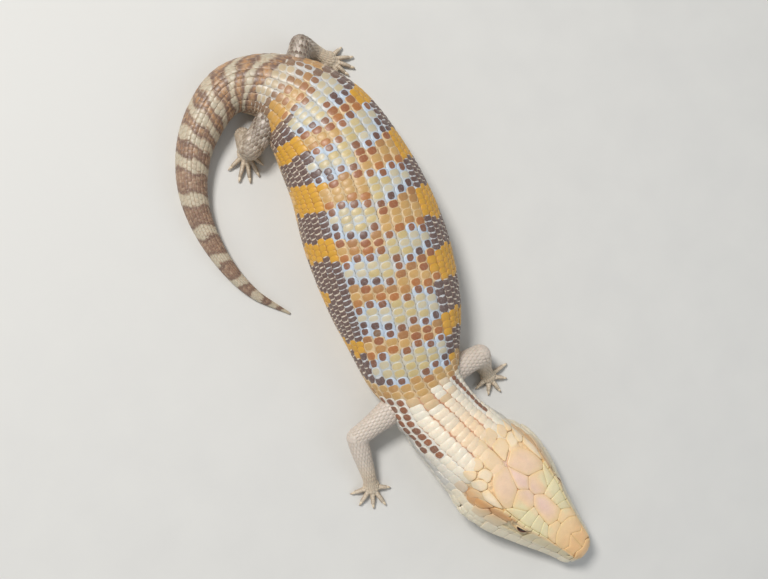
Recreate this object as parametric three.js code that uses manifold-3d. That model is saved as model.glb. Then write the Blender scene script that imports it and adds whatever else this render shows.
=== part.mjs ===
// A young northern blue-tongued skink, life size, lying on its belly with its tail curled forward.
// Millimetres, +Z up. The head points to -Y, the animal's left is +X, and the tail curls on its right.
// The origin is on the floor, under the middle of the belly.

import * as THREE from 'three';
import { mergeVertices } from 'three/addons/utils/BufferGeometryUtils.js';
import Module from 'manifold-3d';

const wasm = await Module();
wasm.setup();

// Driving dimensions

const SEAM = 0.3;            // gap between two neighbouring pieces
const FLOOR_TRIM = 40;       // depth of the block that trims everything at floor level
const FINEST_EDGE = 0.02;    // smaller steps than this are smoothed away
const TIP = 0.15;            // the first section, just behind the snout tip
const SNOUT_ROUND = 4;       // length over which the snout rounds off
const SHIELD_RISE = 0.35;    // how far a head shield stands above the skin
const SHIELD_ROOT = 0.8;     // how deep a head shield is rooted
const SHIELD_INSET = 0.16;   // half the groove between two head shields

// Places along the body, measured in mm from the snout tip. x and y place the body's middle on the
// floor plan. half is half the width, rise and drop are the heights above and below the widest line,
// lift is how high the underside is above the floor, and roll turns the right side up, in degrees.
const STATIONS = [
  { place: 'snout', at: 0, x: 22.5, y: -121.2, half: 5.4, rise: 3.8, drop: 2.9, lift: 3.5, roll: 4 },
  { place: 'nostrils', at: 8, x: 18.9, y: -112.8, half: 7.8, rise: 6.6, drop: 4.6, lift: 3.3, roll: 4 },
  { place: 'eyes', at: 20, x: 13.7, y: -101.4, half: 12.4, rise: 9.8, drop: 6.2, lift: 3.0, roll: 4 },
  { place: 'cheeks', at: 30, x: 9.8, y: -92.2, half: 16.1, rise: 11.0, drop: 7.8, lift: 2.8, roll: 5 },
  { place: 'jaws', at: 39, x: 6.3, y: -84, half: 17.8, rise: 11.6, drop: 8.8, lift: 2.6, roll: 6 },
  { place: 'nape', at: 50, x: 1.8, y: -74, half: 15.7, rise: 11.3, drop: 8.6, lift: 2.4, roll: 12 },
  { place: 'neck', at: 62, x: -2.8, y: -62.8, half: 13.0, rise: 10.8, drop: 8.6, lift: 1.6, roll: 14 },
  { place: 'shoulders', at: 73, x: -5.2, y: -52, half: 12.8, rise: 11.4, drop: 9.4, lift: 0.2, roll: 6 },
  { place: 'chest', at: 84, x: -5.4, y: -41.8, half: 15.6, rise: 12.8, drop: 10.6, lift: -0.5, roll: 0 },
  { place: 'ribs', at: 104, x: -2.6, y: -22.4, half: 20.7, rise: 15.0, drop: 12.0, lift: -0.5, roll: 0 },
  { place: 'middle', at: 128, x: -0.3, y: 1.2, half: 22.8, rise: 16.0, drop: 12.6, lift: -0.5, roll: 0 },
  { place: 'flanks', at: 152, x: 0.6, y: 25, half: 20.5, rise: 14.8, drop: 11.8, lift: -0.5, roll: 0 },
  { place: 'loins', at: 170, x: -1.7, y: 43, half: 17.9, rise: 12.8, drop: 10.4, lift: -0.5, roll: 0 },
  { place: 'hips', at: 182, x: -6.0, y: 53.5, half: 14.6, rise: 11.0, drop: 9.0, lift: -0.4, roll: 0 },
  { place: 'vent', at: 192, x: -13.0, y: 61.2, half: 10.6, rise: 9.0, drop: 7.6, lift: -0.3, roll: 0 },
  { place: 'tail root', at: 202, x: -22.0, y: 64.2, half: 8.2, rise: 7.6, drop: 6.8, lift: -0.3, roll: 0 },
  { place: 'tail bend', at: 221, x: -37.5, y: 55.2, half: 6.4, rise: 6.0, drop: 5.4, lift: -0.3, roll: 0 },
  { place: 'tail side', at: 242, x: -47.2, y: 37.8, half: 4.7, rise: 4.3, drop: 3.9, lift: -0.3, roll: 0 },
  { place: 'tail hook', at: 262, x: -47.8, y: 18.2, half: 3.1, rise: 2.8, drop: 2.6, lift: -0.25, roll: 0 },
  { place: 'tail quarter', at: 280, x: -42.4, y: 1.2, half: 1.8, rise: 1.6, drop: 1.5, lift: -0.2, roll: 0 },
  { place: 'tail tip', at: 294, x: -34.0, y: -9.8, half: 0.45, rise: 0.45, drop: 0.45, lift: -0.1, roll: 0 },
];

// Half cross-sections, from the middle of the back to the middle of the belly, as shares of half
// across, and of rise or drop up and down. A head has a flat crown and sloping cheeks.
const HEAD_SECTION = [
  [0, 1], [0.34, 0.98], [0.59, 0.87], [0.72, 0.58], [0.88, 0.22],
  [1, -0.12], [0.91, -0.62], [0.48, -0.95], [0, -1],
];
const TRUNK_SECTION = [
  [0, 1], [0.4, 0.92], [0.71, 0.71], [0.9, 0.42], [0.985, 0.14],
  [1, -0.14], [0.92, -0.6], [0.56, -0.95], [0, -1],
];
const SECTION_STEPS = HEAD_SECTION.length - 1;
const HEAD_SHAPE_END = 44;   // the head's section holds up to here
const TRUNK_SHAPE_START = 62; // and from here it is the trunk's

// Where the body is parted
const HEAD_END = 48;
const NECK_END = 67;
const TORSO_SPLIT = 120;
const TORSO_END = 188;
const TAIL_SPLIT_FIRST = 216;
const TAIL_SPLIT_SECOND = 246;
const TAIL_END = 294;

// The mouth, in steps of the half section
const MOUTH_LINE = 5.3;
const MOUTH_FRONT = 1.4;     // mm from the snout tip, where the cut turns across
const MOUTH_CORNER = 33;
const MOUTH_GAP = 0.36;
const MOUTH_DEPTH = 0.9;
const LIP_SWELL = 0.3;

// Eyes, nostrils and ears, each at a place from the snout tip and in steps of the half section
const EYE = { at: 24.4, step: 2.45, radius: 2.5, sink: 2.2, length: 4.0, height: 2.2, lid: 0.5 };
const NOSTRIL = { at: 5.0, step: 2.75, radius: 0.55, depth: 1.3 };
const EAR = { at: 42.5, step: 4.95, radius: 1.9, stretch: 1.35, depth: 2.2 };

const SKIN_COLOURS = {
  head: 0xebc896,
  neck: 0xebe1cd,
  torso_front: 0xc9a15c,
  torso_rear: 0xbd9a62,
  tail: 0xbfa88c,
  leg: 0xc8beb4,
  eye: 0x2c1c14,
};
const SKIN_ROUGHNESS = 0.55;
const EYE_ROUGHNESS = 0.12;

// Curves through the stations

const clamp = THREE.MathUtils.clamp;

function slopesOf(key, monotone) {
  const slopes = STATIONS.map(() => 0);
  for (let i = 1; i < STATIONS.length - 1; i += 1) {
    const before = STATIONS[i - 1];
    const here = STATIONS[i];
    const after = STATIONS[i + 1];
    const left = (here[key] - before[key]) / (here.at - before.at);
    const right = (after[key] - here[key]) / (after.at - here.at);
    const level = left * right <= 0;
    const mean = (left * (after.at - here.at) + right * (here.at - before.at)) / (after.at - before.at);
    const steepest = 3 * Math.min(Math.abs(left), Math.abs(right));
    slopes[i] = mean;
    if (monotone) slopes[i] = level ? 0 : Math.sign(mean) * Math.min(Math.abs(mean), steepest);
  }
  const last = STATIONS.length - 1;
  const ends = [[0, 0, 1], [last, last - 1, last]];
  for (const [end, a, b] of ends) {
    slopes[end] = (STATIONS[b][key] - STATIONS[a][key]) / (STATIONS[b].at - STATIONS[a].at);
  }
  return slopes;
}

const SLOPES = {
  x: slopesOf('x', false),
  y: slopesOf('y', false),
  half: slopesOf('half', true),
  rise: slopesOf('rise', true),
  drop: slopesOf('drop', true),
  lift: slopesOf('lift', true),
  roll: slopesOf('roll', true),
};

function along(key, at) {
  let i = 0;
  while (i < STATIONS.length - 2 && at > STATIONS[i + 1].at) i += 1;
  const a = STATIONS[i];
  const b = STATIONS[i + 1];
  const span = b.at - a.at;
  const t = (at - a.at) / span;
  const bend = t * t * (3 - 2 * t);
  const leave = t * (1 - t) * (1 - t) * span;
  const arrive = -t * t * (1 - t) * span;
  return a[key] * (1 - bend) + b[key] * bend + SLOPES[key][i] * leave + SLOPES[key][i + 1] * arrive;
}

function sectionPoint(section, step) {
  const corner = (i) => {
    const turn = Math.abs(i);
    const k = turn > SECTION_STEPS ? 2 * SECTION_STEPS - turn : turn;
    const side = (i < 0) !== (turn > SECTION_STEPS) ? -1 : 1;
    return [side * section[k][0], section[k][1]];
  };
  const i = Math.floor(step);
  const t = step - i;
  const [p, q, r, s] = [corner(i - 1), corner(i), corner(i + 1), corner(i + 2)];
  return [0, 1].map((n) => 0.5 * (2 * q[n] + (r[n] - p[n]) * t
    + (2 * p[n] - 5 * q[n] + 4 * r[n] - s[n]) * t * t
    + (3 * q[n] - p[n] - 3 * r[n] + s[n]) * t * t * t));
}

// The body's own frame at a place: its middle, and the directions to the animal's left and up
function bodyFrame(at) {
  const small = 0.5;
  const ahead = Math.min(at + small, TAIL_END);
  const behind = Math.max(at - small, 0);
  const back = new THREE.Vector3(
    along('x', ahead) - along('x', behind), along('y', ahead) - along('y', behind), 0).normalize();
  const level = new THREE.Vector3(0, 0, 1).cross(back).negate();
  const roll = THREE.MathUtils.degToRad(along('roll', at));
  const up = new THREE.Vector3(0, 0, Math.cos(roll)).addScaledVector(level, Math.sin(roll));
  const left = level.multiplyScalar(Math.cos(roll)).add(new THREE.Vector3(0, 0, -Math.sin(roll)));
  const height = along('lift', at) + along('drop', at);
  return { middle: new THREE.Vector3(along('x', at), along('y', at), height), left, up, back };
}

const roundOff = (at) => {
  const share = clamp(1 - at / SNOUT_ROUND, 0, 1);
  return Math.sqrt(1 - share * share);
};

// A point of the body's surface. step runs from 0 on the back to 8 on the belly, and is negative
// on the animal's right. out lies above the skin, or below it when negative.
function bodyPoint(at, step, out = 0) {
  const frame = bodyFrame(at);
  const blend = THREE.MathUtils.smoothstep(at, HEAD_SHAPE_END, TRUNK_SHAPE_START);
  const onHead = sectionPoint(HEAD_SECTION, step);
  const onTrunk = sectionPoint(TRUNK_SECTION, step);
  const across = THREE.MathUtils.lerp(onHead[0], onTrunk[0], blend);
  const upward = THREE.MathUtils.lerp(onHead[1], onTrunk[1], blend);
  const size = roundOff(at);
  const half = along('half', at) * size + out;
  const rise = along('rise', at) * size + out;
  const drop = along('drop', at) * size + out;
  return frame.middle
    .addScaledVector(frame.left, across * half)
    .addScaledVector(frame.up, upward * (upward > 0 ? rise : drop));
}

// Solids

function solid(positions, faces) {
  const geometry = new THREE.BufferGeometry();
  const flat = positions.flatMap((p) => [...p]);
  geometry.setAttribute('position', new THREE.Float32BufferAttribute(flat, 3));
  geometry.setIndex(faces.flat());
  return solidOf(geometry);
}

function solidOf(geometry) {
  geometry.deleteAttribute('normal');
  geometry.deleteAttribute('uv');
  const merged = mergeVertices(geometry, 1e-4);
  return new wasm.Manifold(new wasm.Mesh({
    numProp: 3,
    vertProperties: new Float32Array(merged.attributes.position.array),
    triVerts: new Uint32Array(merged.index.array),
  }));
}

// A closed solid through rings of equal size, with a flat cap on each end
function loft(rings) {
  const size = rings[0].length;
  const points = rings.flat();
  const faces = [];
  for (let i = 0; i < rings.length - 1; i += 1) {
    for (let j = 0; j < size; j += 1) {
      const a = i * size + j;
      const b = i * size + ((j + 1) % size);
      faces.push([a, b, a + size], [b, b + size, a + size]);
    }
  }
  for (const [first, turned] of [[0, true], [(rings.length - 1) * size, false]]) {
    const centre = new THREE.Vector3();
    for (let j = 0; j < size; j += 1) centre.addScaledVector(points[first + j], 1 / size);
    points.push(centre);
    const hub = points.length - 1;
    for (let j = 0; j < size; j += 1) {
      const a = first + j;
      const b = first + ((j + 1) % size);
      faces.push(turned ? [hub, b, a] : [hub, a, b]);
    }
  }
  return facingOut(points, faces);
}

// Turns the faces round where the rings ran the other way
function facingOut(points, faces) {
  let volume = 0;
  for (const [a, b, c] of faces) {
    volume += points[a].dot(new THREE.Vector3().crossVectors(points[b], points[c]));
  }
  return solid(points, volume > 0 ? faces : faces.map(([a, b, c]) => [a, c, b]));
}

function spread(from, to, count) {
  return Array.from({ length: count + 1 }, (_, i) => from + (to - from) * i / count);
}

function bodyLength(from, to, rings, steps, out = 0) {
  return loft(spread(from, to, rings).map((at) => steps.map((step) => bodyPoint(at, step, out))));
}

const aroundBody = (count) => spread(-SECTION_STEPS, SECTION_STEPS, count).slice(0, -1);

const floorBlock = solidOf(new THREE.BoxGeometry(400, 400, FLOOR_TRIM).translate(0, 0, -FLOOR_TRIM / 2));
const onFloor = (shape) => shape.subtract(floorBlock);

function largest(shape) {
  const bodies = shape.decompose();
  return bodies.reduce((best, body) => (body.volume() > best.volume() ? body : best));
}

function ball(centre, radius, scale = [1, 1, 1], width = 16, height = 10) {
  const geometry = new THREE.SphereGeometry(radius, width, height);
  return solidOf(geometry.scale(...scale).translate(centre.x, centre.y, centre.z));
}

// A tube through named points, with an oval section that may change along it
function tube(points, radii, flat, sides, rings, tip = 1) {
  const path = new THREE.CatmullRomCurve3(points, false, 'centripetal');
  const sizes = radii.map((r, i) => new THREE.Vector3(i, r, 0));
  const sizeCurve = new THREE.CatmullRomCurve3(sizes);
  let side = new THREE.Vector3(0, 0, 1).cross(path.getTangent(0));
  if (side.length() < 0.2) side = new THREE.Vector3(1, 0, 0);
  const loops = spread(0, 1, rings).map((t) => {
    const middle = path.getPoint(t);
    const forward = path.getTangent(t);
    side.addScaledVector(forward, -side.dot(forward)).normalize();
    const up = new THREE.Vector3().crossVectors(forward, side);
    const radius = sizeCurve.getPoint(t).y * (t > 1 - 1e-6 ? tip : 1);
    return spread(0, 2 * Math.PI, sides).slice(0, -1).map((turn) => middle.clone()
      .addScaledVector(side, Math.cos(turn) * radius)
      .addScaledVector(up, Math.sin(turn) * radius * flat));
  });
  return loft(loops);
}

// Head shields: outlines on one side of the crown, as places from the snout tip in mm and steps of
// the half section. The other side is the mirror image, and those that lie on the middle are whole.
const CROWN = {
  noseMiddle: [3.6, 0], noseSide: [4.6, 1.2], noseEdge: [5.6, 2.2],
  nasalMiddle: [10.2, 0], nasalSide: [7.7, 1.2], nasalLow: [8.6, 2.3],
  frontonasalMiddle: [15.2, 0], frontonasalBack: [14.4, 0.9], frontonasalSide: [11.8, 2.1],
  prefrontalMiddle: [17.0, 0], prefrontalBack: [18.4, 0.8], prefrontalSide: [15.4, 1.9],
  frontalFlank: [20.6, 0.72], frontalWaist: [23.6, 0.62], frontalBack: [26.7, 0.48], frontalTip: [29.3, 0],
  browFirst: [18.8, 1.95], browSecond: [22.8, 1.98], browThird: [27.3, 1.98], browLast: [33.6, 1.88],
  frontoparietalSide: [27.2, 0.96], frontoparietalBack: [32.2, 1.48], crownKnot: [34.8, 0.44],
  kiteFront: [31.7, 0], kiteBack: [42.4, 0],
  parietalSide: [38.4, 1.66], parietalCorner: [43.0, 1.22], parietalBack: [44.2, 0.72],
};
const SHIELDS = [
  ['nasal', 'noseMiddle', 'noseSide', 'noseEdge', 'nasalLow', 'nasalSide', 'nasalMiddle'],
  ['prefrontal', 'frontonasalMiddle', 'frontonasalBack', 'frontonasalSide', 'prefrontalSide',
    'prefrontalBack', 'prefrontalMiddle'],
  ['brow shield 1', 'prefrontalSide', 'browFirst', 'frontalFlank', 'prefrontalBack'],
  ['brow shield 2', 'browFirst', 'browSecond', 'frontalWaist', 'frontalFlank'],
  ['brow shield 3', 'browSecond', 'browThird', 'frontoparietalSide', 'frontalBack', 'frontalWaist'],
  ['brow shield 4', 'browThird', 'browLast', 'frontoparietalBack', 'frontoparietalSide'],
  ['frontoparietal', 'frontalTip', 'frontalBack', 'frontoparietalSide', 'frontoparietalBack', 'crownKnot',
    'kiteFront'],
  ['parietal', 'frontoparietalBack', 'browLast', 'parietalSide', 'parietalCorner', 'parietalBack',
    'kiteBack', 'crownKnot'],
];
const MIDDLE_SHIELDS = [
  ['frontonasal', 'nasalMiddle', 'nasalSide', 'nasalLow', 'frontonasalSide', 'frontonasalBack',
    'frontonasalMiddle'],
  ['frontal', 'prefrontalMiddle', 'prefrontalBack', 'frontalFlank', 'frontalWaist', 'frontalBack',
    'frontalTip'],
  ['interparietal', 'kiteFront', 'crownKnot', 'kiteBack'],
];

function shieldOutlines() {
  const outlines = [];
  for (const side of [-1, 1]) {
    for (const [, ...names] of SHIELDS) {
      outlines.push(names.map((name) => [CROWN[name][0], CROWN[name][1] * side]));
    }
  }
  for (const [, ...names] of MIDDLE_SHIELDS) {
    const half = names.map((name) => CROWN[name]);
    const mirrored = half.filter(([, step]) => step > 0).reverse().map(([at, step]) => [at, -step]);
    outlines.push([...half, ...mirrored]);
  }
  return outlines;
}

// One shield: the outline drawn in by the groove, raised over the skin, and rooted below it
function shieldPlate(outline) {
  const edges = [];
  outline.forEach(([at, step], i) => {
    const [nextAt, nextStep] = outline[(i + 1) % outline.length];
    const pieces = Math.abs(nextAt - at) > 5 ? 2 : 1;
    for (let k = 0; k < pieces; k += 1) {
      edges.push([at + (nextAt - at) * k / pieces, step + (nextStep - step) * k / pieces]);
    }
  });
  const middle = [0, 1].map((n) => edges.reduce((sum, edge) => sum + edge[n], 0) / edges.length);
  const drawIn = ([at, step], share) => [at + (middle[0] - at) * share, step + (middle[1] - step) * share];
  const reach = edges.reduce((sum, edge) => sum + bodyPoint(...edge).distanceTo(bodyPoint(...middle)), 0);
  const groove = SHIELD_INSET * edges.length / reach;
  const point = (place, out) => bodyPoint(Math.max(place[0], 0.2), place[1], out);
  const low = edges.map((edge) => point(drawIn(edge, groove), -SHIELD_ROOT));
  const rim = edges.map((edge) => point(drawIn(edge, groove), SHIELD_RISE * 0.5));
  const top = edges.map((edge) => point(drawIn(edge, 2.6 * groove), SHIELD_RISE));
  return loft([low, rim, top]);
}

// Head

// The mouth is a thin cut that follows the lips from one corner round the snout to the other
function mouthCut() {
  const beyond = 1.5;
  const places = spread(MOUTH_FRONT, MOUTH_CORNER, 20);
  const sides = [-1, 1].map((side) => places.map((at) => [
    bodyPoint(at, side * MOUTH_LINE, -MOUTH_DEPTH), bodyPoint(at, side * MOUTH_LINE, beyond)]));
  const tip = bodyPoint(TIP, MOUTH_LINE).lerp(bodyPoint(TIP, -MOUTH_LINE), 0.5);
  const back = bodyFrame(TIP).back;
  const front = [tip.clone().addScaledVector(back, MOUTH_DEPTH), tip.clone().addScaledVector(back, -beyond)];
  const rings = [...sides[0].reverse(), front, ...sides[1]].map(([inner, outer]) => {
    const gap = new THREE.Vector3(0, 0, MOUTH_GAP / 2);
    return [inner.clone().sub(gap), outer.clone().sub(gap), outer.clone().add(gap), inner.clone().add(gap)];
  });
  return loft(rings);
}

function headSkin() {
  const rings = [TIP, 0.5, 1.1, 2, 3.2, 4.7, 6.4, 8.2, 10.2, 12.2, 14.4, 16.6, 18.8, 20.6, 22.2, 23.6, 25,
    26.6, 28.4, 30.4, 33, 35.6, 38.2, 40.8, 43.2, 45.6, HEAD_END];
  const oneSide = [0, 0.6, 1.2, 1.8, 2.2, 2.55, 2.9, 3.3, 3.8, 4.4, 4.95, MOUTH_LINE, 5.65, 6.1, 6.7, 7.3,
    SECTION_STEPS];
  const steps = [...oneSide.slice(1).reverse().map((step) => -step), ...oneSide.slice(0, -1)];
  const swell = (at, step) => {
    const size = Math.abs(step);
    const lip = Math.exp(-(((size - MOUTH_LINE) / 0.42) ** 2));
    const inMouth = 1 - THREE.MathUtils.smoothstep(at, MOUTH_CORNER - 4, MOUTH_CORNER + 2);
    const eyeDistance = ((at - EYE.at) / 3.4) ** 2 + ((size - EYE.step) / 0.72) ** 2;
    return LIP_SWELL * lip * inMouth + EYE.lid * Math.exp(-eyeDistance);
  };
  return loft(rings.map((at) => steps.map((step) => bodyPoint(at, step, swell(at, step)))));
}

function eyeCentre(side) {
  return bodyPoint(EYE.at, side * EYE.step, -EYE.sink);
}

// The direction straight out of the skin at a place
function outward(at, step) {
  const ahead = bodyPoint(at + 0.5, step).sub(bodyPoint(at - 0.5, step));
  const around = bodyPoint(at, step + 0.05).sub(bodyPoint(at, step - 0.05));
  const normal = ahead.cross(around).normalize();
  const away = bodyPoint(at, step, 1).sub(bodyPoint(at, step));
  return normal.dot(away) < 0 ? normal.negate() : normal;
}

function eyeSocket(side) {
  const centre = eyeCentre(side);
  const room = ball(centre, EYE.radius + SEAM, [1, 1, 1], 18, 12);
  const out = outward(EYE.at, side * EYE.step);
  const back = bodyFrame(EYE.at).back;
  const up = new THREE.Vector3().crossVectors(out, back).normalize();
  const slit = [0.2, 1].map((reach) => spread(0, 2 * Math.PI, 14).slice(0, -1).map((turn) => centre.clone()
    .addScaledVector(out, reach * (EYE.radius + 3))
    .addScaledVector(back, Math.cos(turn) * EYE.length / 2)
    .addScaledVector(up, Math.sin(turn) * Math.abs(Math.sin(turn)) * EYE.height / 2)));
  return room.add(loft(slit));
}

function earCup(side) {
  const out = outward(EAR.at, side * EAR.step);
  const centre = bodyPoint(EAR.at, side * EAR.step).addScaledVector(out, 0.35);
  const rings = [[0.9, 1.2], [1, 0], [0.72, -0.6], [0.4, -1]].map(([size, deep]) => {
    return spread(0, 2 * Math.PI, 14).slice(0, -1).map((turn) => centre.clone()
      .addScaledVector(out, deep * EAR.depth)
      .addScaledVector(bodyFrame(EAR.at).back, Math.cos(turn) * EAR.radius * size)
      .addScaledVector(bodyFrame(EAR.at).up, Math.sin(turn) * EAR.radius * EAR.stretch * size));
  });
  return loft(rings);
}

function nostril(side) {
  const out = outward(NOSTRIL.at, side * NOSTRIL.step);
  const mouth = bodyPoint(NOSTRIL.at, side * NOSTRIL.step).addScaledVector(out, 1);
  const bottom = bodyPoint(NOSTRIL.at, side * NOSTRIL.step).addScaledVector(out, -NOSTRIL.depth);
  return tube([mouth, bottom], [NOSTRIL.radius * 1.3, NOSTRIL.radius * 0.7], 1, 8, 2);
}

function head() {
  let shape = headSkin();
  for (const outline of shieldOutlines()) shape = shape.add(shieldPlate(outline));
  shape = shape.subtract(mouthCut());
  for (const side of [-1, 1]) {
    shape = shape.subtract(eyeSocket(side)).subtract(earCup(side)).subtract(nostril(side));
  }
  return onFloor(shape);
}

// Legs. Each is a chain of named joints, and its fingers or toes fan out from the palm or sole.
const v = (x, y, z) => new THREE.Vector3(x, y, z);

const LEGS = {
  foreleg_right: {
    root: v(-9, -49, 9.5), knee: v(-31.2, -54.6, 8), ankle: v(-32, -67.6, 3.6), foot: v(-32.4, -71.6, 1.5),
    radii: [4.0, 3.3, 2.7], palm: 2.9,
    tips: [
      v(-26.6, -74.7, 0.6), v(-30.4, -79.4, 0.6), v(-34.6, -78.6, 0.6),
      v(-38.5, -75.6, 0.6), v(-39.6, -71, 0.6),
    ],
  },
  foreleg_left: {
    root: v(-1, -48, 9.5), knee: v(16.6, -47.2, 8.6), ankle: v(17.6, -52.4, 3.6), foot: v(18.3, -55.4, 1.5),
    radii: [4.2, 3.7, 2.8], palm: 2.9,
    tips: [
      v(12.7, -57.6, 0.6), v(15.9, -61.4, 0.6), v(20.4, -62.2, 0.6),
      v(24.4, -58.8, 0.6), v(26.4, -54.2, 0.6),
    ],
  },
  hindleg_right: {
    root: v(-8, 54, 9), knee: v(-25.4, 43.6, 8), ankle: v(-25.2, 49.8, 3.2), foot: v(-26.2, 44.0, 1.6),
    radii: [4.6, 3.9, 2.9], palm: 3.1,
    tips: [
      v(-22.4, 38.2, 0.6), v(-25.2, 35.2, 0.6), v(-28.8, 34.4, 0.6),
      v(-32.2, 36.0, 0.6), v(-33.8, 41.0, 0.6),
    ],
  },
  hindleg_left: {
    root: v(-5, 57, 9), knee: v(3.6, 69.2, 7.6), ankle: v(8.2, 67.0, 3.2), foot: v(11.8, 63.2, 1.6),
    radii: [4.6, 3.6, 2.8], palm: 3.1,
    tips: [
      v(13.2, 56.8, 0.6), v(16.4, 55.8, 0.6), v(19.4, 57.4, 0.6),
      v(20.6, 61.2, 0.6), v(18.2, 65.8, 0.6),
    ],
  },
};
const TOE_RADIUS = 0.72;
const CLAW_LENGTH = 1.9;
const CLAW_TIP = 0.16;
const PALM_FLAT = 0.6;

// A block that fills everything beyond a plane
function halfSpace(point, normal) {
  const size = 60;
  const block = new THREE.BoxGeometry(size, size, size).translate(0, 0, size / 2);
  const direction = normal.clone().normalize();
  const turn = new THREE.Quaternion().setFromUnitVectors(new THREE.Vector3(0, 0, 1), direction);
  block.applyQuaternion(turn).translate(point.x, point.y, point.z);
  return solidOf(block);
}

function upperLeg(leg, out = 0) {
  const [top, middle] = leg.radii;
  const radii = [top, (top + middle) / 2 + 0.2, middle].map((radius) => radius + out);
  const limb = tube([leg.root, leg.root.clone().lerp(leg.knee, 0.6), leg.knee], radii, 1, 12, 6);
  return limb.add(ball(leg.knee, middle + out, [1, 1, 1], 12, 8));
}

function lowerLeg(leg, out = 0) {
  const [, middle, low] = leg.radii;
  const radii = [middle * 0.96, (middle + low) / 2, low * 0.85].map((radius) => radius + out);
  const limb = tube([leg.knee, leg.knee.clone().lerp(leg.ankle, 0.55), leg.ankle], radii, 1, 12, 5);
  return limb.add(ball(leg.knee, middle + out, [1, 1, 1], 12, 8));
}

function foot(leg) {
  const heel = leg.ankle.clone();
  const sole = leg.foot.clone();
  const wrist = leg.radii[2];
  const palmWidths = [wrist * 0.85, wrist * 0.9, leg.palm * 0.7];
  let shape = tube([heel, heel.clone().lerp(sole, 0.5), sole], palmWidths, 0.9, 10, 4);
  shape = shape.add(ball(heel, wrist * 0.85, [1, 1, 1], 10, 6));
  shape = shape.add(ball(sole, leg.palm, [1, 1, PALM_FLAT], 12, 8));
  for (const tip of leg.tips) {
    const away = tip.clone().sub(sole).normalize();
    const root = sole.clone().addScaledVector(away, leg.palm * 0.45);
    const knuckle = root.clone().lerp(tip, 0.5);
    knuckle.z = 1.5;
    const end = tip.clone().addScaledVector(away, -CLAW_LENGTH * 0.8);
    end.z = 0.75;
    const toe = [TOE_RADIUS * 1.25, TOE_RADIUS, TOE_RADIUS * 0.8];
    shape = shape.add(tube([root, knuckle, end], toe, 0.95, 6, 3));
    const bow = end.clone().lerp(tip, 0.5);
    bow.z = 1.0;
    const point = v(tip.x, tip.y, 0.3);
    const claw = [TOE_RADIUS * 0.62, TOE_RADIUS * 0.45, CLAW_TIP];
    shape = shape.add(tube([end, bow, point], claw, 0.9, 5, 2));
  }
  return shape;
}

// A joint is parted on the plane that halves its bend, and each piece keeps clear of the one above
function jointBlocks(before, joint, after) {
  const arriving = joint.clone().sub(before).normalize();
  const leaving = after.clone().sub(joint).normalize();
  const through = arriving.add(leaving).normalize();
  const beyond = halfSpace(joint.clone().addScaledVector(through, -SEAM / 2), through);
  const short = halfSpace(joint.clone().addScaledVector(through, SEAM / 2), through.clone().negate());
  return { beyond, short };
}

function legPieces(name, leg, body) {
  const knee = jointBlocks(leg.root, leg.knee, leg.ankle);
  const ankle = jointBlocks(leg.knee, leg.ankle, leg.foot);
  const upper = upperLeg(leg).subtract(knee.beyond).subtract(body);
  const aboveKnee = upperLeg(leg, SEAM).subtract(knee.beyond);
  const lower = lowerLeg(leg).subtract(knee.short).subtract(ankle.beyond).subtract(aboveKnee).subtract(body);
  const aboveAnkle = lowerLeg(leg, SEAM).subtract(knee.short).subtract(ankle.beyond);
  const sole = foot(leg).subtract(ankle.short).subtract(aboveAnkle).subtract(aboveKnee).subtract(body);
  return {
    [`${name}_upper`]: largest(onFloor(upper)),
    [`${name}_lower`]: largest(onFloor(lower)),
    [`${name}_foot`]: largest(onFloor(sole)),
  };
}

// Build

const group = new THREE.Group();

function addMesh(name, shape, colour, roughness = SKIN_ROUGHNESS) {
  const { vertProperties, triVerts, numProp } = shape.asOriginal().simplify(FINEST_EDGE).getMesh();
  const geometry = new THREE.BufferGeometry();
  const positions = new Float32Array(vertProperties.length / numProp * 3);
  for (let i = 0; i < positions.length / 3; i += 1) {
    for (let n = 0; n < 3; n += 1) positions[3 * i + n] = vertProperties[numProp * i + n];
  }
  geometry.setAttribute('position', new THREE.BufferAttribute(positions, 3));
  geometry.setIndex(new THREE.BufferAttribute(new Uint32Array(triVerts), 1));
  geometry.computeVertexNormals();
  const material = new THREE.MeshStandardMaterial({ color: colour, roughness, metalness: 0 });
  const mesh = new THREE.Mesh(geometry, material);
  mesh.name = name;
  group.add(mesh);
}

const half = SEAM / 2;
const torsoSteps = aroundBody(28);
const tailSteps = aroundBody(20);

addMesh('head', largest(head()), SKIN_COLOURS.head);
for (const [side, name] of [[-1, 'right'], [1, 'left']]) {
  addMesh(`eye_${name}`, ball(eyeCentre(side), EYE.radius), SKIN_COLOURS.eye, EYE_ROUGHNESS);
}
const bodyParts = [
  ['neck', HEAD_END + SEAM, NECK_END - half, 8, torsoSteps, SKIN_COLOURS.neck],
  ['torso_front', NECK_END + half, TORSO_SPLIT - half, 18, torsoSteps, SKIN_COLOURS.torso_front],
  ['torso_rear', TORSO_SPLIT + half, TORSO_END - half, 18, torsoSteps, SKIN_COLOURS.torso_rear],
  ['tail_base', TORSO_END + half, TAIL_SPLIT_FIRST - half, 12, tailSteps, SKIN_COLOURS.tail],
  ['tail_middle', TAIL_SPLIT_FIRST + half, TAIL_SPLIT_SECOND - half, 10, tailSteps, SKIN_COLOURS.tail],
  ['tail_end', TAIL_SPLIT_SECOND + half, TAIL_END, 14, tailSteps, SKIN_COLOURS.tail],
];
for (const [name, from, to, rings, steps, colour] of bodyParts) {
  addMesh(name, largest(onFloor(bodyLength(from, to, rings, steps))), colour);
}

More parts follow.
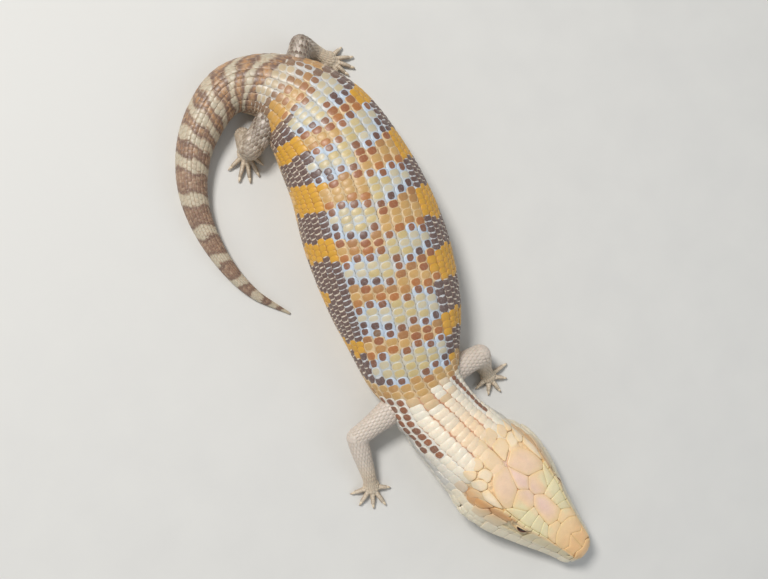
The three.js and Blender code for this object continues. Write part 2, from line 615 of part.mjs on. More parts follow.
const frontClearance = bodyLength(HEAD_END, TORSO_SPLIT, 28, torsoSteps, SEAM);
const rearClearance = bodyLength(TORSO_SPLIT, TAIL_SPLIT_SECOND, 34, torsoSteps, SEAM);
for (const [name, leg] of Object.entries(LEGS)) {
  const clearance = name.startsWith('fore') ? frontClearance : rearClearance;
  for (const [part, shape] of Object.entries(legPieces(name, leg, clearance))) {
    addMesh(part, shape, SKIN_COLOURS.leg);
  }
}

export default group;
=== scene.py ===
# %% [markdown]
# # A blue-tongued skink, scale by scale
#
# A skink wears two kinds of armour. Large flat shields cover its head, and rows of smooth round scales
# cover the rest, each one lying over the next like a roof tile. Under both lies a plain soft skin.
# This lesson makes them in that order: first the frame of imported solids, then one skin over all the
# flesh, and then every scale as a small solid of its own. Places are written in millimetres from the
# snout tip, because that is how the animal is measured, and turned into metres at the last moment.

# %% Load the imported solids
import math

import bpy
import numpy as np
from mathutils import Matrix, Vector, kdtree
from mathutils.bvhtree import BVHTree


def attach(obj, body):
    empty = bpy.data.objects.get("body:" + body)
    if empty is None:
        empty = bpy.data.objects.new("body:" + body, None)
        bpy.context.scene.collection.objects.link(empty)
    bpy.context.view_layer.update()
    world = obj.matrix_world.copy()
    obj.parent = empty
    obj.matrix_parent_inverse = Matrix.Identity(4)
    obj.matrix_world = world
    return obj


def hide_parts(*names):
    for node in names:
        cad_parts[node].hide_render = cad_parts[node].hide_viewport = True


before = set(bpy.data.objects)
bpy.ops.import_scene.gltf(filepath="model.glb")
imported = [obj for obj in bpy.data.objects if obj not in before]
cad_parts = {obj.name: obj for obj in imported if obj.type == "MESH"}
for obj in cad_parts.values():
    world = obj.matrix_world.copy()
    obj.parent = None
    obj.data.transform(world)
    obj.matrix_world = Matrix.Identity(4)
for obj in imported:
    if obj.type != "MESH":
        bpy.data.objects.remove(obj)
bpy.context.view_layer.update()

MM = 0.001
NODES = list(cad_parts)
rng = np.random.default_rng(7)

# %% [markdown]
# ## The body as a road
#
# A body could be sculpted freely, but scales need an address: how far from the snout, and how far
# round from the middle of the back. So the body is written as a road of stations, the same ones that
# shaped the solids. At each station stand its place on the floor plan, its half width, its height
# above and below the widest line, how high its underside lies and how far it rolls.

# %% Stations
STATIONS = {
    # place: at, x, y, half, rise, drop, lift, roll
    "snout": (0, 22.5, -121.2, 5.4, 3.8, 2.9, 3.5, 4),
    "nostrils": (8, 18.9, -112.8, 7.8, 6.6, 4.6, 3.3, 4),
    "eyes": (20, 13.7, -101.4, 12.4, 9.8, 6.2, 3.0, 4),
    "cheeks": (30, 9.8, -92.2, 16.1, 11.0, 7.8, 2.8, 5),
    "jaws": (39, 6.3, -84.0, 17.8, 11.6, 8.8, 2.6, 6),
    "nape": (50, 1.8, -74.0, 15.7, 11.3, 8.6, 2.4, 12),
    "neck": (62, -2.8, -62.8, 13.0, 10.8, 8.6, 1.6, 14),
    "shoulders": (73, -5.2, -52.0, 12.8, 11.4, 9.4, 0.2, 6),
    "chest": (84, -5.4, -41.8, 15.6, 12.8, 10.6, -0.5, 0),
    "ribs": (104, -2.6, -22.4, 20.7, 15.0, 12.0, -0.5, 0),
    "middle": (128, -0.3, 1.2, 22.8, 16.0, 12.6, -0.5, 0),
    "flanks": (152, 0.6, 25.0, 20.5, 14.8, 11.8, -0.5, 0),
    "loins": (170, -1.7, 43.0, 17.9, 12.8, 10.4, -0.5, 0),
    "hips": (182, -6.0, 53.5, 14.6, 11.0, 9.0, -0.4, 0),
    "vent": (192, -13.0, 61.2, 10.6, 9.0, 7.6, -0.3, 0),
    "tail root": (202, -22.0, 64.2, 8.2, 7.6, 6.8, -0.3, 0),
    "tail bend": (221, -37.5, 55.2, 6.4, 6.0, 5.4, -0.3, 0),
    "tail side": (242, -47.2, 37.8, 4.7, 4.3, 3.9, -0.3, 0),
    "tail hook": (262, -47.8, 18.2, 3.1, 2.8, 2.6, -0.25, 0),
    "tail quarter": (280, -42.4, 1.2, 1.8, 1.6, 1.5, -0.2, 0),
    "tail tip": (294, -34.0, -9.8, 0.45, 0.45, 0.45, -0.1, 0),
}
KEYS = ("x", "y", "half", "rise", "drop", "lift", "roll")
AT = np.array([row[0] for row in STATIONS.values()], float)
MEASURES = {
    key: np.array([row[1 + i] for row in STATIONS.values()], float) for i, key in enumerate(KEYS)
}
TAIL_END = AT[-1]
SNOUT_ROUND = 4.0          # length over which the snout rounds off
TIP = 0.15                 # the first ring, just behind the snout tip

# Half cross-sections from the middle of the back (step 0) to the middle of the belly (step 8)
HEAD_SECTION = np.array([
    (0, 1), (0.34, 0.98), (0.59, 0.87), (0.72, 0.58), (0.88, 0.22),
    (1, -0.12), (0.91, -0.62), (0.48, -0.95), (0, -1),
])
TRUNK_SECTION = np.array([
    (0, 1), (0.4, 0.92), (0.71, 0.71), (0.9, 0.42), (0.985, 0.14),
    (1, -0.14), (0.92, -0.6), (0.56, -0.95), (0, -1),
])
STEPS = len(HEAD_SECTION) - 1
HEAD_SHAPE_END = 44        # mm from the snout: up to here the section is the head's
TRUNK_SHAPE_START = 62     # and from here it is the trunk's
print("stations:", len(STATIONS), "length:", TAIL_END, "mm")

# %% [markdown]
# ## Smooth curves through the stations
#
# Between two stations every measure follows a cubic that leaves and arrives at the right slope. For
# widths and heights the slopes are held back so that no bulge appears that isn't in the table.

# %% Curves along the body
UP = np.array([0, 0, 1.0])
HALF_SPAN = 0.5            # mm ahead and behind from which a direction is taken


def slopes_of(key):
    """The slope of one measure at each station."""
    value = MEASURES[key]
    gaps = np.diff(AT)
    grades = np.diff(value) / gaps
    mean = (grades[:-1] * gaps[1:] + grades[1:] * gaps[:-1]) / (gaps[1:] + gaps[:-1])
    if key not in ("x", "y"):
        steepest = 3 * np.minimum(abs(grades[:-1]), abs(grades[1:]))
        held_back = np.sign(mean) * np.minimum(abs(mean), steepest)
        mean = np.where(grades[:-1] * grades[1:] <= 0, 0, held_back)
    return np.concatenate([grades[:1], mean, grades[-1:]])


SLOPES = {key: slopes_of(key) for key in KEYS}


def along(key, at):
    """The measure called key at a place, in mm from the snout tip."""
    i = np.clip(np.searchsorted(AT, at) - 1, 0, len(AT) - 2)
    span = AT[i + 1] - AT[i]
    t = (at - AT[i]) / span
    bend = t * t * (3 - 2 * t)
    value = MEASURES[key]
    leave = SLOPES[key][i] * t * (1 - t) ** 2 * span
    arrive = SLOPES[key][i + 1] * t * t * (1 - t) * span
    return value[i] * (1 - bend) + value[i + 1] * bend + leave - arrive


def ramp(start, end, value):
    """0 before start, 1 after end, and a smooth climb between them."""
    t = np.clip((np.asarray(value, float) - start) / (end - start), 0, 1)
    return t * t * (3 - 2 * t)


def hump(value, centre, width):
    """1 at the centre, falling away like a bell."""
    return np.exp(-((np.asarray(value, float) - centre) / width) ** 2)


def plateau(value, start, full, fade, end):
    """A climb from start to full, and a fall from fade to end."""
    return ramp(start, full, value) * (1 - ramp(fade, end, value))


def blend(first, second, share):
    """Colours or points between two others."""
    share = np.asarray(share, float)[..., None]
    return first * (1 - share) + second * share


def unit(vector):
    return vector / np.linalg.norm(vector)


def full_turn(count):
    """Evenly spread angles round a circle."""
    return np.linspace(0, 2 * math.pi, count, endpoint=False)


print("width of trunk and neck, mm:", [2 * float(along("half", at)) for at in (128, 73)])

# %% [markdown]
# Seen from the front a skink isn't an oval: it is flat below, and its head is squarer than its trunk.
# The outline could be drawn afresh at every station. Two half outlines are enough here, the head's and
# the trunk's, because they are mixed over the nape and mirrored from side to side.

# %% Points of the surface
def through_four(p, q, r, s, t):
    """A point between q and r on the smooth curve through four points."""
    square = (2 * p - 5 * q + 4 * r - s) * t * t
    cube = (3 * q - p - 3 * r + s) * t ** 3
    return 0.5 * (2 * q + (r - p) * t + square + cube)


def section_point(section, step):
    """A point of a half section; it mirrors itself past the back and past the belly."""
    i = np.floor(step).astype(int)
    t = (step - i)[..., None]

    def corner(k):
        turn = np.abs(k)
        over = turn > STEPS
        side = np.where((k < 0) != over, -1.0, 1.0)
        point = section[np.where(over, 2 * STEPS - turn, turn)]
        return np.stack([point[..., 0] * side, point[..., 1]], -1)

    return through_four(corner(i - 1), corner(i), corner(i + 1), corner(i + 2), t)


def body_frame(at):
    """The body's middle at a place, and the directions to its left, up and tailwards."""
    ahead = np.minimum(at + HALF_SPAN, TAIL_END)
    behind = np.maximum(at - HALF_SPAN, 0)
    run = [along(key, ahead) - along(key, behind) for key in ("x", "y")]
    back = np.stack([run[0], run[1], np.zeros_like(run[0])], -1)
    back /= np.linalg.norm(back, axis=-1, keepdims=True)
    level = np.stack([back[..., 1], -back[..., 0], back[..., 2]], -1)
    roll = np.radians(along("roll", at))[..., None]
    up = UP * np.cos(roll) + level * np.sin(roll)
    left = level * np.cos(roll) - UP * np.sin(roll)
    height = along("lift", at) + along("drop", at)
    middle = np.stack([along("x", at), along("y", at), height], -1)
    return middle, left, up, back


def body_point(at, step, out=0.0):
    """A point of the body's surface. step is negative on the animal's right; out lies above it."""
    at, step, out = np.broadcast_arrays(*[np.asarray(v, float) for v in (at, step, out)])
    at = np.clip(at, TIP, TAIL_END)
    middle, left, up, _ = body_frame(at)
    on_trunk = ramp(HEAD_SHAPE_END, TRUNK_SHAPE_START, at)
    shape = blend(section_point(HEAD_SECTION, step), section_point(TRUNK_SECTION, step), on_trunk)
    size = np.sqrt(1 - np.clip(1 - at / SNOUT_ROUND, 0, 1) ** 2)
    half = along("half", at) * size + out
    tall = np.where(shape[..., 1] > 0, along("rise", at), along("drop", at)) * size + out
    return middle + left * (shape[..., 0] * half)[..., None] + up * (shape[..., 1] * tall)[..., None]


print("top of the back, mm:", [body_point(at, 0)[2].round(1) for at in (20, 50, 84, 128, 182)])

# %% [markdown]
# ## Addresses round the body
#
# Scales are counted in millimetres round the body, not in steps of the section. A small table of arc
# lengths, measured once from the shape itself, turns one into the other. The middle line of the back
# also wanders a little to one side, where the living body rolled as it was held in its curve.

# %% Round the body
ARC_SAMPLES = 161          # points measured from the back to the belly
RING_PLACES = np.arange(0, TAIL_END + 1.0)
FINE_STEPS = np.linspace(0, STEPS, ARC_SAMPLES)
SHARES = np.linspace(0, 1, ARC_SAMPLES)
_rings = body_point(RING_PLACES[:, None], FINE_STEPS[None, :])
_arcs = np.concatenate([
    np.zeros((len(RING_PLACES), 1)),
    np.cumsum(np.linalg.norm(np.diff(_rings, axis=1), axis=-1), axis=1),
], axis=1)
HALF_GIRTH = _arcs[:, -1]
STEP_OF_SHARE = np.array([np.interp(SHARES, arc / arc[-1], FINE_STEPS) for arc in _arcs])


def half_girth(at):
    """Millimetres round the body from the middle of the back to the middle of the belly."""
    return np.interp(at, RING_PLACES, HALF_GIRTH)


def step_of_share(at, share):
    """The step at a share of the way from back to belly; past the belly it comes up the other side."""
    share = (share + 1) % 2 - 1
    f = np.abs(share) * (len(SHARES) - 1)
    g = np.clip(at, 0, TAIL_END - 1e-6)
    i = np.minimum(g.astype(int), len(RING_PLACES) - 2)
    j = np.minimum(f.astype(int), len(SHARES) - 2)
    u, w = g - i, f - j
    near = STEP_OF_SHARE[i, j] * (1 - w) + STEP_OF_SHARE[i, j + 1] * w
    far = STEP_OF_SHARE[i + 1, j] * (1 - w) + STEP_OF_SHARE[i + 1, j + 1] * w
    return np.where(share < 0, -1, 1) * (near * (1 - u) + far * u)


SPINE_PLACES = (50, 65, 78, 110, 128, 140, 155, 175, 200)
SPINE_DRIFTS = (-0.3, -0.5, -1.7, -1.6, -1.0, 0.0, 0.6, 0.2, 0.0)


def spine_drift(at):
    """How far the middle line of the back lies from the top of the section, in mm, left positive."""
    return np.interp(at, SPINE_PLACES, SPINE_DRIFTS)


def step_at(at, side):
    """The step of a place that lies side mm round from the middle line of the back."""
    return step_of_share(at, (side + spine_drift(at)) / half_girth(at))


print("half girth at the middle:", round(float(half_girth(128)), 1), "mm")

# %% [markdown]
# ## Camera, light and floor
#
# The camera looks steeply down on the animal's right side. One large soft lamp overhead and a pale
# sky give the even daylight of a studio table, and a plain floor catches the shadow.

# %% Camera, lamps and floor
CAMERA_AT = Vector((-67.3, -18.2, 307.4))
CAMERA_FORWARD = Vector((0.2076, 0.0108, -0.9781))
CAMERA_UP = Vector((0.3912, 0.9156, 0.0932))
CAMERA_LENS = 44.3         # mm, on a 36 mm sensor


def aim(forward, up):
    """The turn of a camera or lamp that looks forward."""
    back = -forward.normalized()
    right = up.cross(back).normalized()
    return Matrix((right, back.cross(right), back)).transposed().to_4x4()


scene = bpy.context.scene
camera = bpy.data.objects.new("camera", bpy.data.cameras.new("camera"))
camera.data.lens = CAMERA_LENS
camera.data.sensor_width = 36
camera.data.clip_start = 0.01
camera.matrix_world = Matrix.Translation(CAMERA_AT * MM) @ aim(CAMERA_FORWARD, CAMERA_UP)
scene.collection.objects.link(camera)
scene.camera = camera
scene.view_settings.view_transform = "Standard"

LAMPS_LOOK_AT = Vector((0, -15, 8))
LAMPS = {
    # name: place in mm, size in mm, watts, colour
    "key": ((-250, 420, 740), 240, 6.3, (1.0, 0.975, 0.94)),
    "fill": ((420, -260, 380), 500, 0.6, (0.92, 0.96, 1.0)),
    "rim": ((-380, -420, 300), 360, 0.5, (0.95, 0.975, 1.0)),
}
for lamp_name, (place, size, watts, colour) in LAMPS.items():
    lamp = bpy.data.objects.new(lamp_name, bpy.data.lights.new(lamp_name, "AREA"))
    lamp.data.shape = "DISK"
    lamp.data.size = size * MM
    lamp.data.energy = watts
    lamp.data.color = colour
    toward = LAMPS_LOOK_AT - Vector(place)
    lamp.matrix_world = Matrix.Translation(Vector(place) * MM) @ aim(toward, Vector((0, 1, 0.1)))
    scene.collection.objects.link(lamp)

SKY = (0.92, 0.96, 1.0)
SKY_STRENGTH = 0.29
scene.world = bpy.data.worlds.new("studio")
scene.world.use_nodes = True
sky = scene.world.node_tree.nodes["Background"]
sky.inputs["Color"].default_value = (*SKY, 1)
sky.inputs["Strength"].default_value = SKY_STRENGTH
print("lamps:", list(LAMPS))

# %% [markdown]
# ## Writing shader maths
#
# A material is a small sum over the surface. Wired by hand it turns into a tangle, so a socket is
# wrapped here in a class that knows plus, minus, times and power: an expression then adds its own
# Math nodes. Every other node comes from one method that sets a node's settings first and its
# sockets after. The scales of the noises count per metre, so 1000 gives grains of about a millimetre.

# %% The socket wrapper
NOISE_ROUGHNESS = 0.55


class Wire:
    """One value over a surface."""

    def __init__(self, paint, socket):
        self.paint = paint
        self.socket = socket

    def sum(self, operation, other):
        return self.paint.wire("Value", "ShaderNodeMath", {"operation": operation}, {0: self, 1: other})

    def __add__(self, other):
        return self.sum("ADD", other)

    def __sub__(self, other):
        return self.sum("SUBTRACT", other)

    def __mul__(self, other):
        return self.sum("MULTIPLY", other)

    def __pow__(self, other):
        return self.sum("POWER", other)

    def __abs__(self):
        return self.sum("ABSOLUTE", 0.0)


print("a wire knows plus, minus, times, power and absolute")

# %% [markdown]
# A material holds its nodes in a tree, and its look is set on one node, the Principled shader. The
# class below makes a node, feeds its sockets with numbers or wires, and hands its output back.

# %% The material helper
class Paint:
    """A material and the few kinds of wiring that it needs."""

    def __init__(self, name):
        self.material = bpy.data.materials.new(name)
        self.material.use_nodes = True
        self.tree = self.material.node_tree
        self.shader = self.tree.nodes["Principled BSDF"]

    def feed(self, socket, value):
        if isinstance(value, Wire):
            self.tree.links.new(value.socket, socket)
        else:
            socket.default_value = value

    def set(self, **sockets):
        for name, value in sockets.items():
            self.feed(self.shader.inputs[name.replace("_", " ")], value)

    def node(self, kind, settings, sockets):
        node = self.tree.nodes.new(kind)
        for key, value in settings.items():
            setattr(node, key, value)
        for key, value in sockets.items():
            self.feed(node.inputs[key], value)
        return node

    def wire(self, output, kind, settings, sockets):
        """One output of a new node."""
        return Wire(self, self.node(kind, settings, sockets).outputs[output])

    def attribute(self, name, output):
        return self.wire(output, "ShaderNodeAttribute", {"attribute_name": name}, {})

    def noise(self, scale, detail):
        place = self.wire("Object", "ShaderNodeTexCoord", {}, {})
        sockets = {"Vector": place, "Scale": scale, "Detail": detail, "Roughness": NOISE_ROUGHNESS}
        return self.wire("Fac", "ShaderNodeTexNoise", {}, sockets)

    def ease(self, value, start, end, low=0.0, high=1.0):
        sockets = {"Value": value, "From Min": start, "From Max": end, "To Min": low, "To Max": high}
        return self.wire("Result", "ShaderNodeMapRange", {"interpolation_type": "SMOOTHSTEP"}, sockets)

    def mix(self, factor, first, second, way="MIX"):
        settings = {"data_type": "RGBA", "blend_type": way}
        return self.wire(2, "ShaderNodeMix", settings, {0: factor, 6: first, 7: second})

    def bump(self, height, strength, distance):
        sockets = {"Height": height, "Strength": strength, "Distance": distance}
        return self.wire("Normal", "ShaderNodeBump", {}, sockets)


def linear(colour):
    """A colour named in 0 to 255, as Blender's shaders count it."""
    share = np.asarray(colour, float) / 255
    return np.where(share <= 0.04045, share / 12.92, ((share + 0.055) / 1.055) ** 2.4)


def rgba(colour):
    return (*linear(colour), 1.0)


print("half grey, as the shaders count it:", linear(128).round(3))

# %% [markdown]
# ## Keratin
#
# One scale of this animal is two-toned: a darker heart in the part that shows, and a paler rim where
# the horn thins out. The scales carry both colours, and also where each point lies on its own scale,
# so one material can paint them all: it mixes heart and rim by the distance from the scale's middle,
# with a little noise to fray the line, and adds the fine grain and the wet-looking gloss of horn.

# %% Materials of the scales and shields
# Painted shade: rims of scales and shields are pulled towards this dark tone to stand for the shadow in
# the grooves between them.
GROOVE_SHADE_TONE = (150, 112, 88)
SKIN_FLECK = (120, 96, 78)
GROWTH_LINES = 34.0        # how fast the fine lines of growth follow one another, in radians
HORN_ROUGHNESS = (0.38, 0.54)


def keratin(name, heart_edge, rim_edge, fray):
    """A material of horn; its heart ends at heart_edge and its rim begins at rim_edge."""
    paint = Paint(name)
    heart = paint.attribute("heart", "Color")
    rim = paint.attribute("rim", "Color")
    spot = paint.node("ShaderNodeSeparateXYZ", {}, {0: paint.attribute("spot", "Vector")})
    across, endwise, luck = (Wire(paint, spot.outputs[axis]) for axis in "XYZ")
    rounded = (abs(across) ** 2.5 + abs(endwise) ** 2.5) ** 0.4
    outward = rounded * (luck * 0.09 + 1.0) + (paint.noise(950, 3.0) - 0.5) * fray
    flecks = paint.ease(paint.noise(1300, 3.0), 0.45, 0.75, 0.0, 0.16)
    tone = paint.mix(paint.ease(outward, heart_edge, rim_edge), paint.mix(flecks, heart, rim), rim)
    shade = luck * 0.05 + (paint.noise(420, 2.0) - 0.5) * 0.22 + (paint.noise(3200, 2.0) - 0.5) * 0.14
    veil = {0: shade + 0.96, 1: shade + 0.95, 2: shade + 0.94}
    tone = paint.mix(1.0, tone, paint.wire("Color", "ShaderNodeCombineColor", {}, veil), "MULTIPLY")
    # Painted shade of the groove round the scale, as much as the rim's value asks.
    tone = paint.mix(paint.attribute("seam", "Fac"), tone, rgba(GROOVE_SHADE_TONE))
    growth = paint.wire("Value", "ShaderNodeMath", {"operation": "SINE"}, {0: outward * GROWTH_LINES})
    height = paint.noise(2600, 3.0) * 0.35 + paint.noise(650, 2.0) * 0.5 + growth * 0.04
    paint.set(
        Base_Color=tone,
        Roughness=paint.ease(paint.noise(900, 2.0), 0.25, 0.75, *HORN_ROUGHNESS),
        Normal=paint.bump(height, 0.35, 0.00012),
        Coat_Weight=0.16, Coat_Roughness=0.28, Specular_IOR_Level=0.45,
        Subsurface_Weight=0.06, Subsurface_Scale=0.0006, Subsurface_Radius=(1.0, 0.5, 0.3),
    )
    return paint.material


scale_horn = keratin("scale_horn", 0.68, 0.86, 0.36)
shield_horn = keratin("shield_horn", 0.55, 1.0, 0.1)

soft = Paint("soft_skin")
_mottle = soft.noise(900, 4.0)
_flecked = soft.ease(_mottle, 0.35, 0.7, 0.0, 0.35)
soft.set(
    Base_Color=soft.mix(_flecked, soft.attribute("tone", "Color"), rgba(SKIN_FLECK)),
    Roughness=soft.ease(_mottle, 0.2, 0.8, 0.48, 0.66),
    Normal=soft.bump(soft.noise(2400, 4.0), 0.5, 0.0002),
)
soft_skin = soft.material
print("materials:", scale_horn.name, shield_horn.name, soft_skin.name)

# %% [markdown]
# ## Meshes from arrays
#
# Thousands of scales are far quicker to make as arrays than one by one. This helper turns points and
# faces into an object, and hangs named values on its points for the materials to read.

# %% Object maker
LAYER_TYPES = {"color": "FLOAT_COLOR", "vector": "FLOAT_VECTOR", "value": "FLOAT"}
LAYER_KINDS = {
    "heart": "color", "rim": "color", "tone": "color", "spot": "vector", "seam": "value",
    "length": "value", "gaze": "value",
}


def hang(mesh, name, values):
    """Hangs a colour, an arrow or a number on every point of a mesh."""
    kind = LAYER_KINDS[name]
    values = np.asarray(values, np.float32)
    if kind == "color":
        values = np.column_stack([values, np.ones(len(values), np.float32)])
    layer = mesh.attributes.new(name, LAYER_TYPES[kind], "POINT")
    layer.data.foreach_set(kind, values.ravel())


def make_object(name, points, face_sets, material, bake=None, **layers):
    """An object from points in mm; bake holds each point's place on the OFBake map."""
    mesh = bpy.data.meshes.new(name)
    mesh.vertices.add(len(points))
    mesh.vertices.foreach_set("co", (np.asarray(points) * MM).astype(np.float32).ravel())
    corners = np.concatenate([faces.ravel() for faces in face_sets]).astype(np.int32)
    sizes = np.concatenate([np.full(len(faces), faces.shape[1]) for faces in face_sets])
    starts = np.concatenate([[0], np.cumsum(sizes)[:-1]]).astype(np.int32)
    mesh.loops.add(len(corners))
    mesh.loops.foreach_set("vertex_index", corners)
    mesh.polygons.add(len(sizes))
    mesh.polygons.foreach_set("loop_start", starts)
    mesh.polygons.foreach_set("use_smooth", np.ones(len(sizes), bool))
    mesh.update(calc_edges=True)
    for key, values in layers.items():
        hang(mesh, key, values)
    if bake is not None:
        layer = mesh.uv_layers.new(name="OFBake")
        layer.data.foreach_set("uv", np.asarray(bake, np.float32)[corners].ravel())
    mesh.materials.append(material)
    thing = bpy.data.objects.new(name, mesh)
    scene.collection.objects.link(thing)
    return thing


def hand_over(thing, nodes):
    """A finished piece rides on the body and stands for its solids."""
    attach(thing, "root")
    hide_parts(*nodes)
    triangles = sum(len(face.vertices) - 2 for face in thing.data.polygons)
    print(f"{thing.name}: {triangles} triangles")


print("values that a point can carry:", list(LAYER_KINDS))

# %% [markdown]
# ## The markings
#
# The back is crossed by bands that don't meet in the middle: each side has its own. A band is a
# cream patch, a row of dark scales with blue-white rims in front of it and behind it, a row of rusty
# ones beyond each of those, and tan between. The blue-white of these rims is partly a pale margin and
# partly a painted sheen of the sky. Down on the flank the same bands turn into dark bars on orange.
# So two short lists of patch centres, one for each side, are enough to paint the trunk.
# The tail carries pale rings that slant across it. Its scales are small against its mottling, so there
# the tones are worked out for every point of a scale and not once for the whole of it.

# %% Colours of the trunk and tail
# Of these, the blue-white rim tone is partly a pale scale margin and partly a painted sheen of the sky.
TONES = {name: linear(colour) for name, colour in {
    "cream": (202, 182, 130), "chalk": (200, 194, 175), "blue_margin_and_sheen": (192, 205, 219),
    "slate": (106, 80, 72), "umber": (136, 94, 72), "rust": (174, 113, 66), "brick": (154, 98, 66),
    "tan": (198, 159, 100), "sand": (214, 188, 148), "amber": (214, 162, 58), "honey": (200, 150, 72),
    "bar": (108, 86, 80), "ash": (214, 202, 186), "milk": (242, 234, 216), "blush": (212, 162, 130),
    "peach": (244, 216, 180), "belly": (234, 210, 176), "pearl": (222, 218, 208),
    "tail_pale": (198, 187, 165), "tail_brown": (150, 120, 100), "tail_rust": (183, 138, 94),
    "tail_dark": (122, 97, 84), "tail_edge": (184, 162, 138), "hip": (188, 152, 112),
    # The grey tone at the end of the next line is painted shade on the lower side of the neck.
    "leg": (216, 203, 192), "leg_dark": (118, 100, 88), "foot": (212, 194, 170), "neck_side_shade": (190, 188, 182),
}.items()}
CREAM_PATCHES = {
    1: np.array([60, 86.5, 102, 121, 140.7, 159, 174, 187.5, 203]),
    -1: np.array([58, 85, 101.5, 117, 132.8, 154, 171.8, 190, 205]),
}
BAND_SLANT = {1: 0.12, -1: 0.18}
MERGED_BAR = (97, 121)     # on the right two dark bars run into one
PALE_RINGS = np.array([
    189.5, 196.5, 203.5, 211.5, 218.5, 225.5, 233.8, 245, 255.5, 265.5, 274.5, 282, 288, 293,
])
NECK_END = 75.5            # mm from the snout, in the middle of the back
SHOULDER_END = 80.5
TAIL_PAINT_START = 191


def repeated(row, count):
    """The same row for each of many scales."""
    return np.repeat(np.array(row, float)[None], count, axis=0)


def tinted(colours, name, share):
    """Colours washed with one of the tones."""
    return blend(colours, TONES[name], share)


def band_distances(at, side):
    """How far a place lies behind one cream patch and ahead of the next, on its own side."""
    behind, ahead = np.zeros_like(at), np.zeros_like(at)
    for sign, centres in CREAM_PATCHES.items():
        mine = (side >= 0) if sign > 0 else (side < 0)
        place = at - BAND_SLANT[sign] * np.maximum(np.abs(side) - 3, 0)
        i = np.clip(np.searchsorted(centres, place), 1, len(centres) - 1)
        behind = np.where(mine, place - centres[i - 1], behind)
        ahead = np.where(mine, centres[i] - place, ahead)
    return behind, ahead


def beyond_patch(side):
    """How far a place lies sideways outside the cream patches, in mm."""
    reach = np.abs(side)
    return 0.62 * np.maximum(reach - 9, 0) + np.maximum(1.2 - reach, 0)


def back_edge(at, side):
    """How far round the pattern of the back reaches before the flank begins."""
    left = np.interp(at, (78, 97, 117, 137, 152, 165, 185), (11.5, 12, 14, 15.3, 15.3, 14, 8))
    right_reach = (11.5, 15, 14.2, 16.2, 14.8, 14.2, 12.5, 8)
    right = np.interp(at, (78, 92, 104, 121, 130, 143, 165, 185), right_reach)
    return np.where(side < 0, right, left)


print("tones:", len(TONES), "cream patches on each side:", [len(row) for row in CREAM_PATCHES.values()])

# %% [markdown]
# A row of scales behind a patch lies between two distances from the patch's centre, in mm. The heart of
# a scale fills it in one of a few ways: it can be narrowed across and along, moved forward and bowed,
# and the painted shade in the groove round the scale can be stronger or weaker.

# %% Paint of the trunk
PATCH_REACH = 3.0
DARK_BEHIND, DARK_AHEAD = 5.2, 6.0
WARM_BEHIND, WARM_AHEAD = 7.4, 8.4
BAR_REACH = 4.9            # half the length of a dark bar on the flank

# Hearts: narrower across, narrower along, forward, bowed, painted groove shade
WHOLE = (1.02, 0.95, 0.05, 0.0, 0.22)
TOMBSTONE = (1.0, 0.78, 0.14, 0.1, 0.18)
NARROW = (1.34, 0.82, 0.12, 0.25, 0.0)
PLAIN_TILE = (0.8, 0.8, 0.0, 0.0, 0.3)
FORWARD = (0.5, 0.84, 0.36, 0.6, 0.2)
TAIL_TILE = (0.88, 0.86, 0.1, 0.0, 0.14)
LENGTHWISE = (0.84, 0.4, 0.0, 0.0, 0.1)
STREAK = (1.15, 0.85, 0.15, 0.0, 0.1)
THIN = (1.45, 0.7, 0.1, 0.0, 0.1)


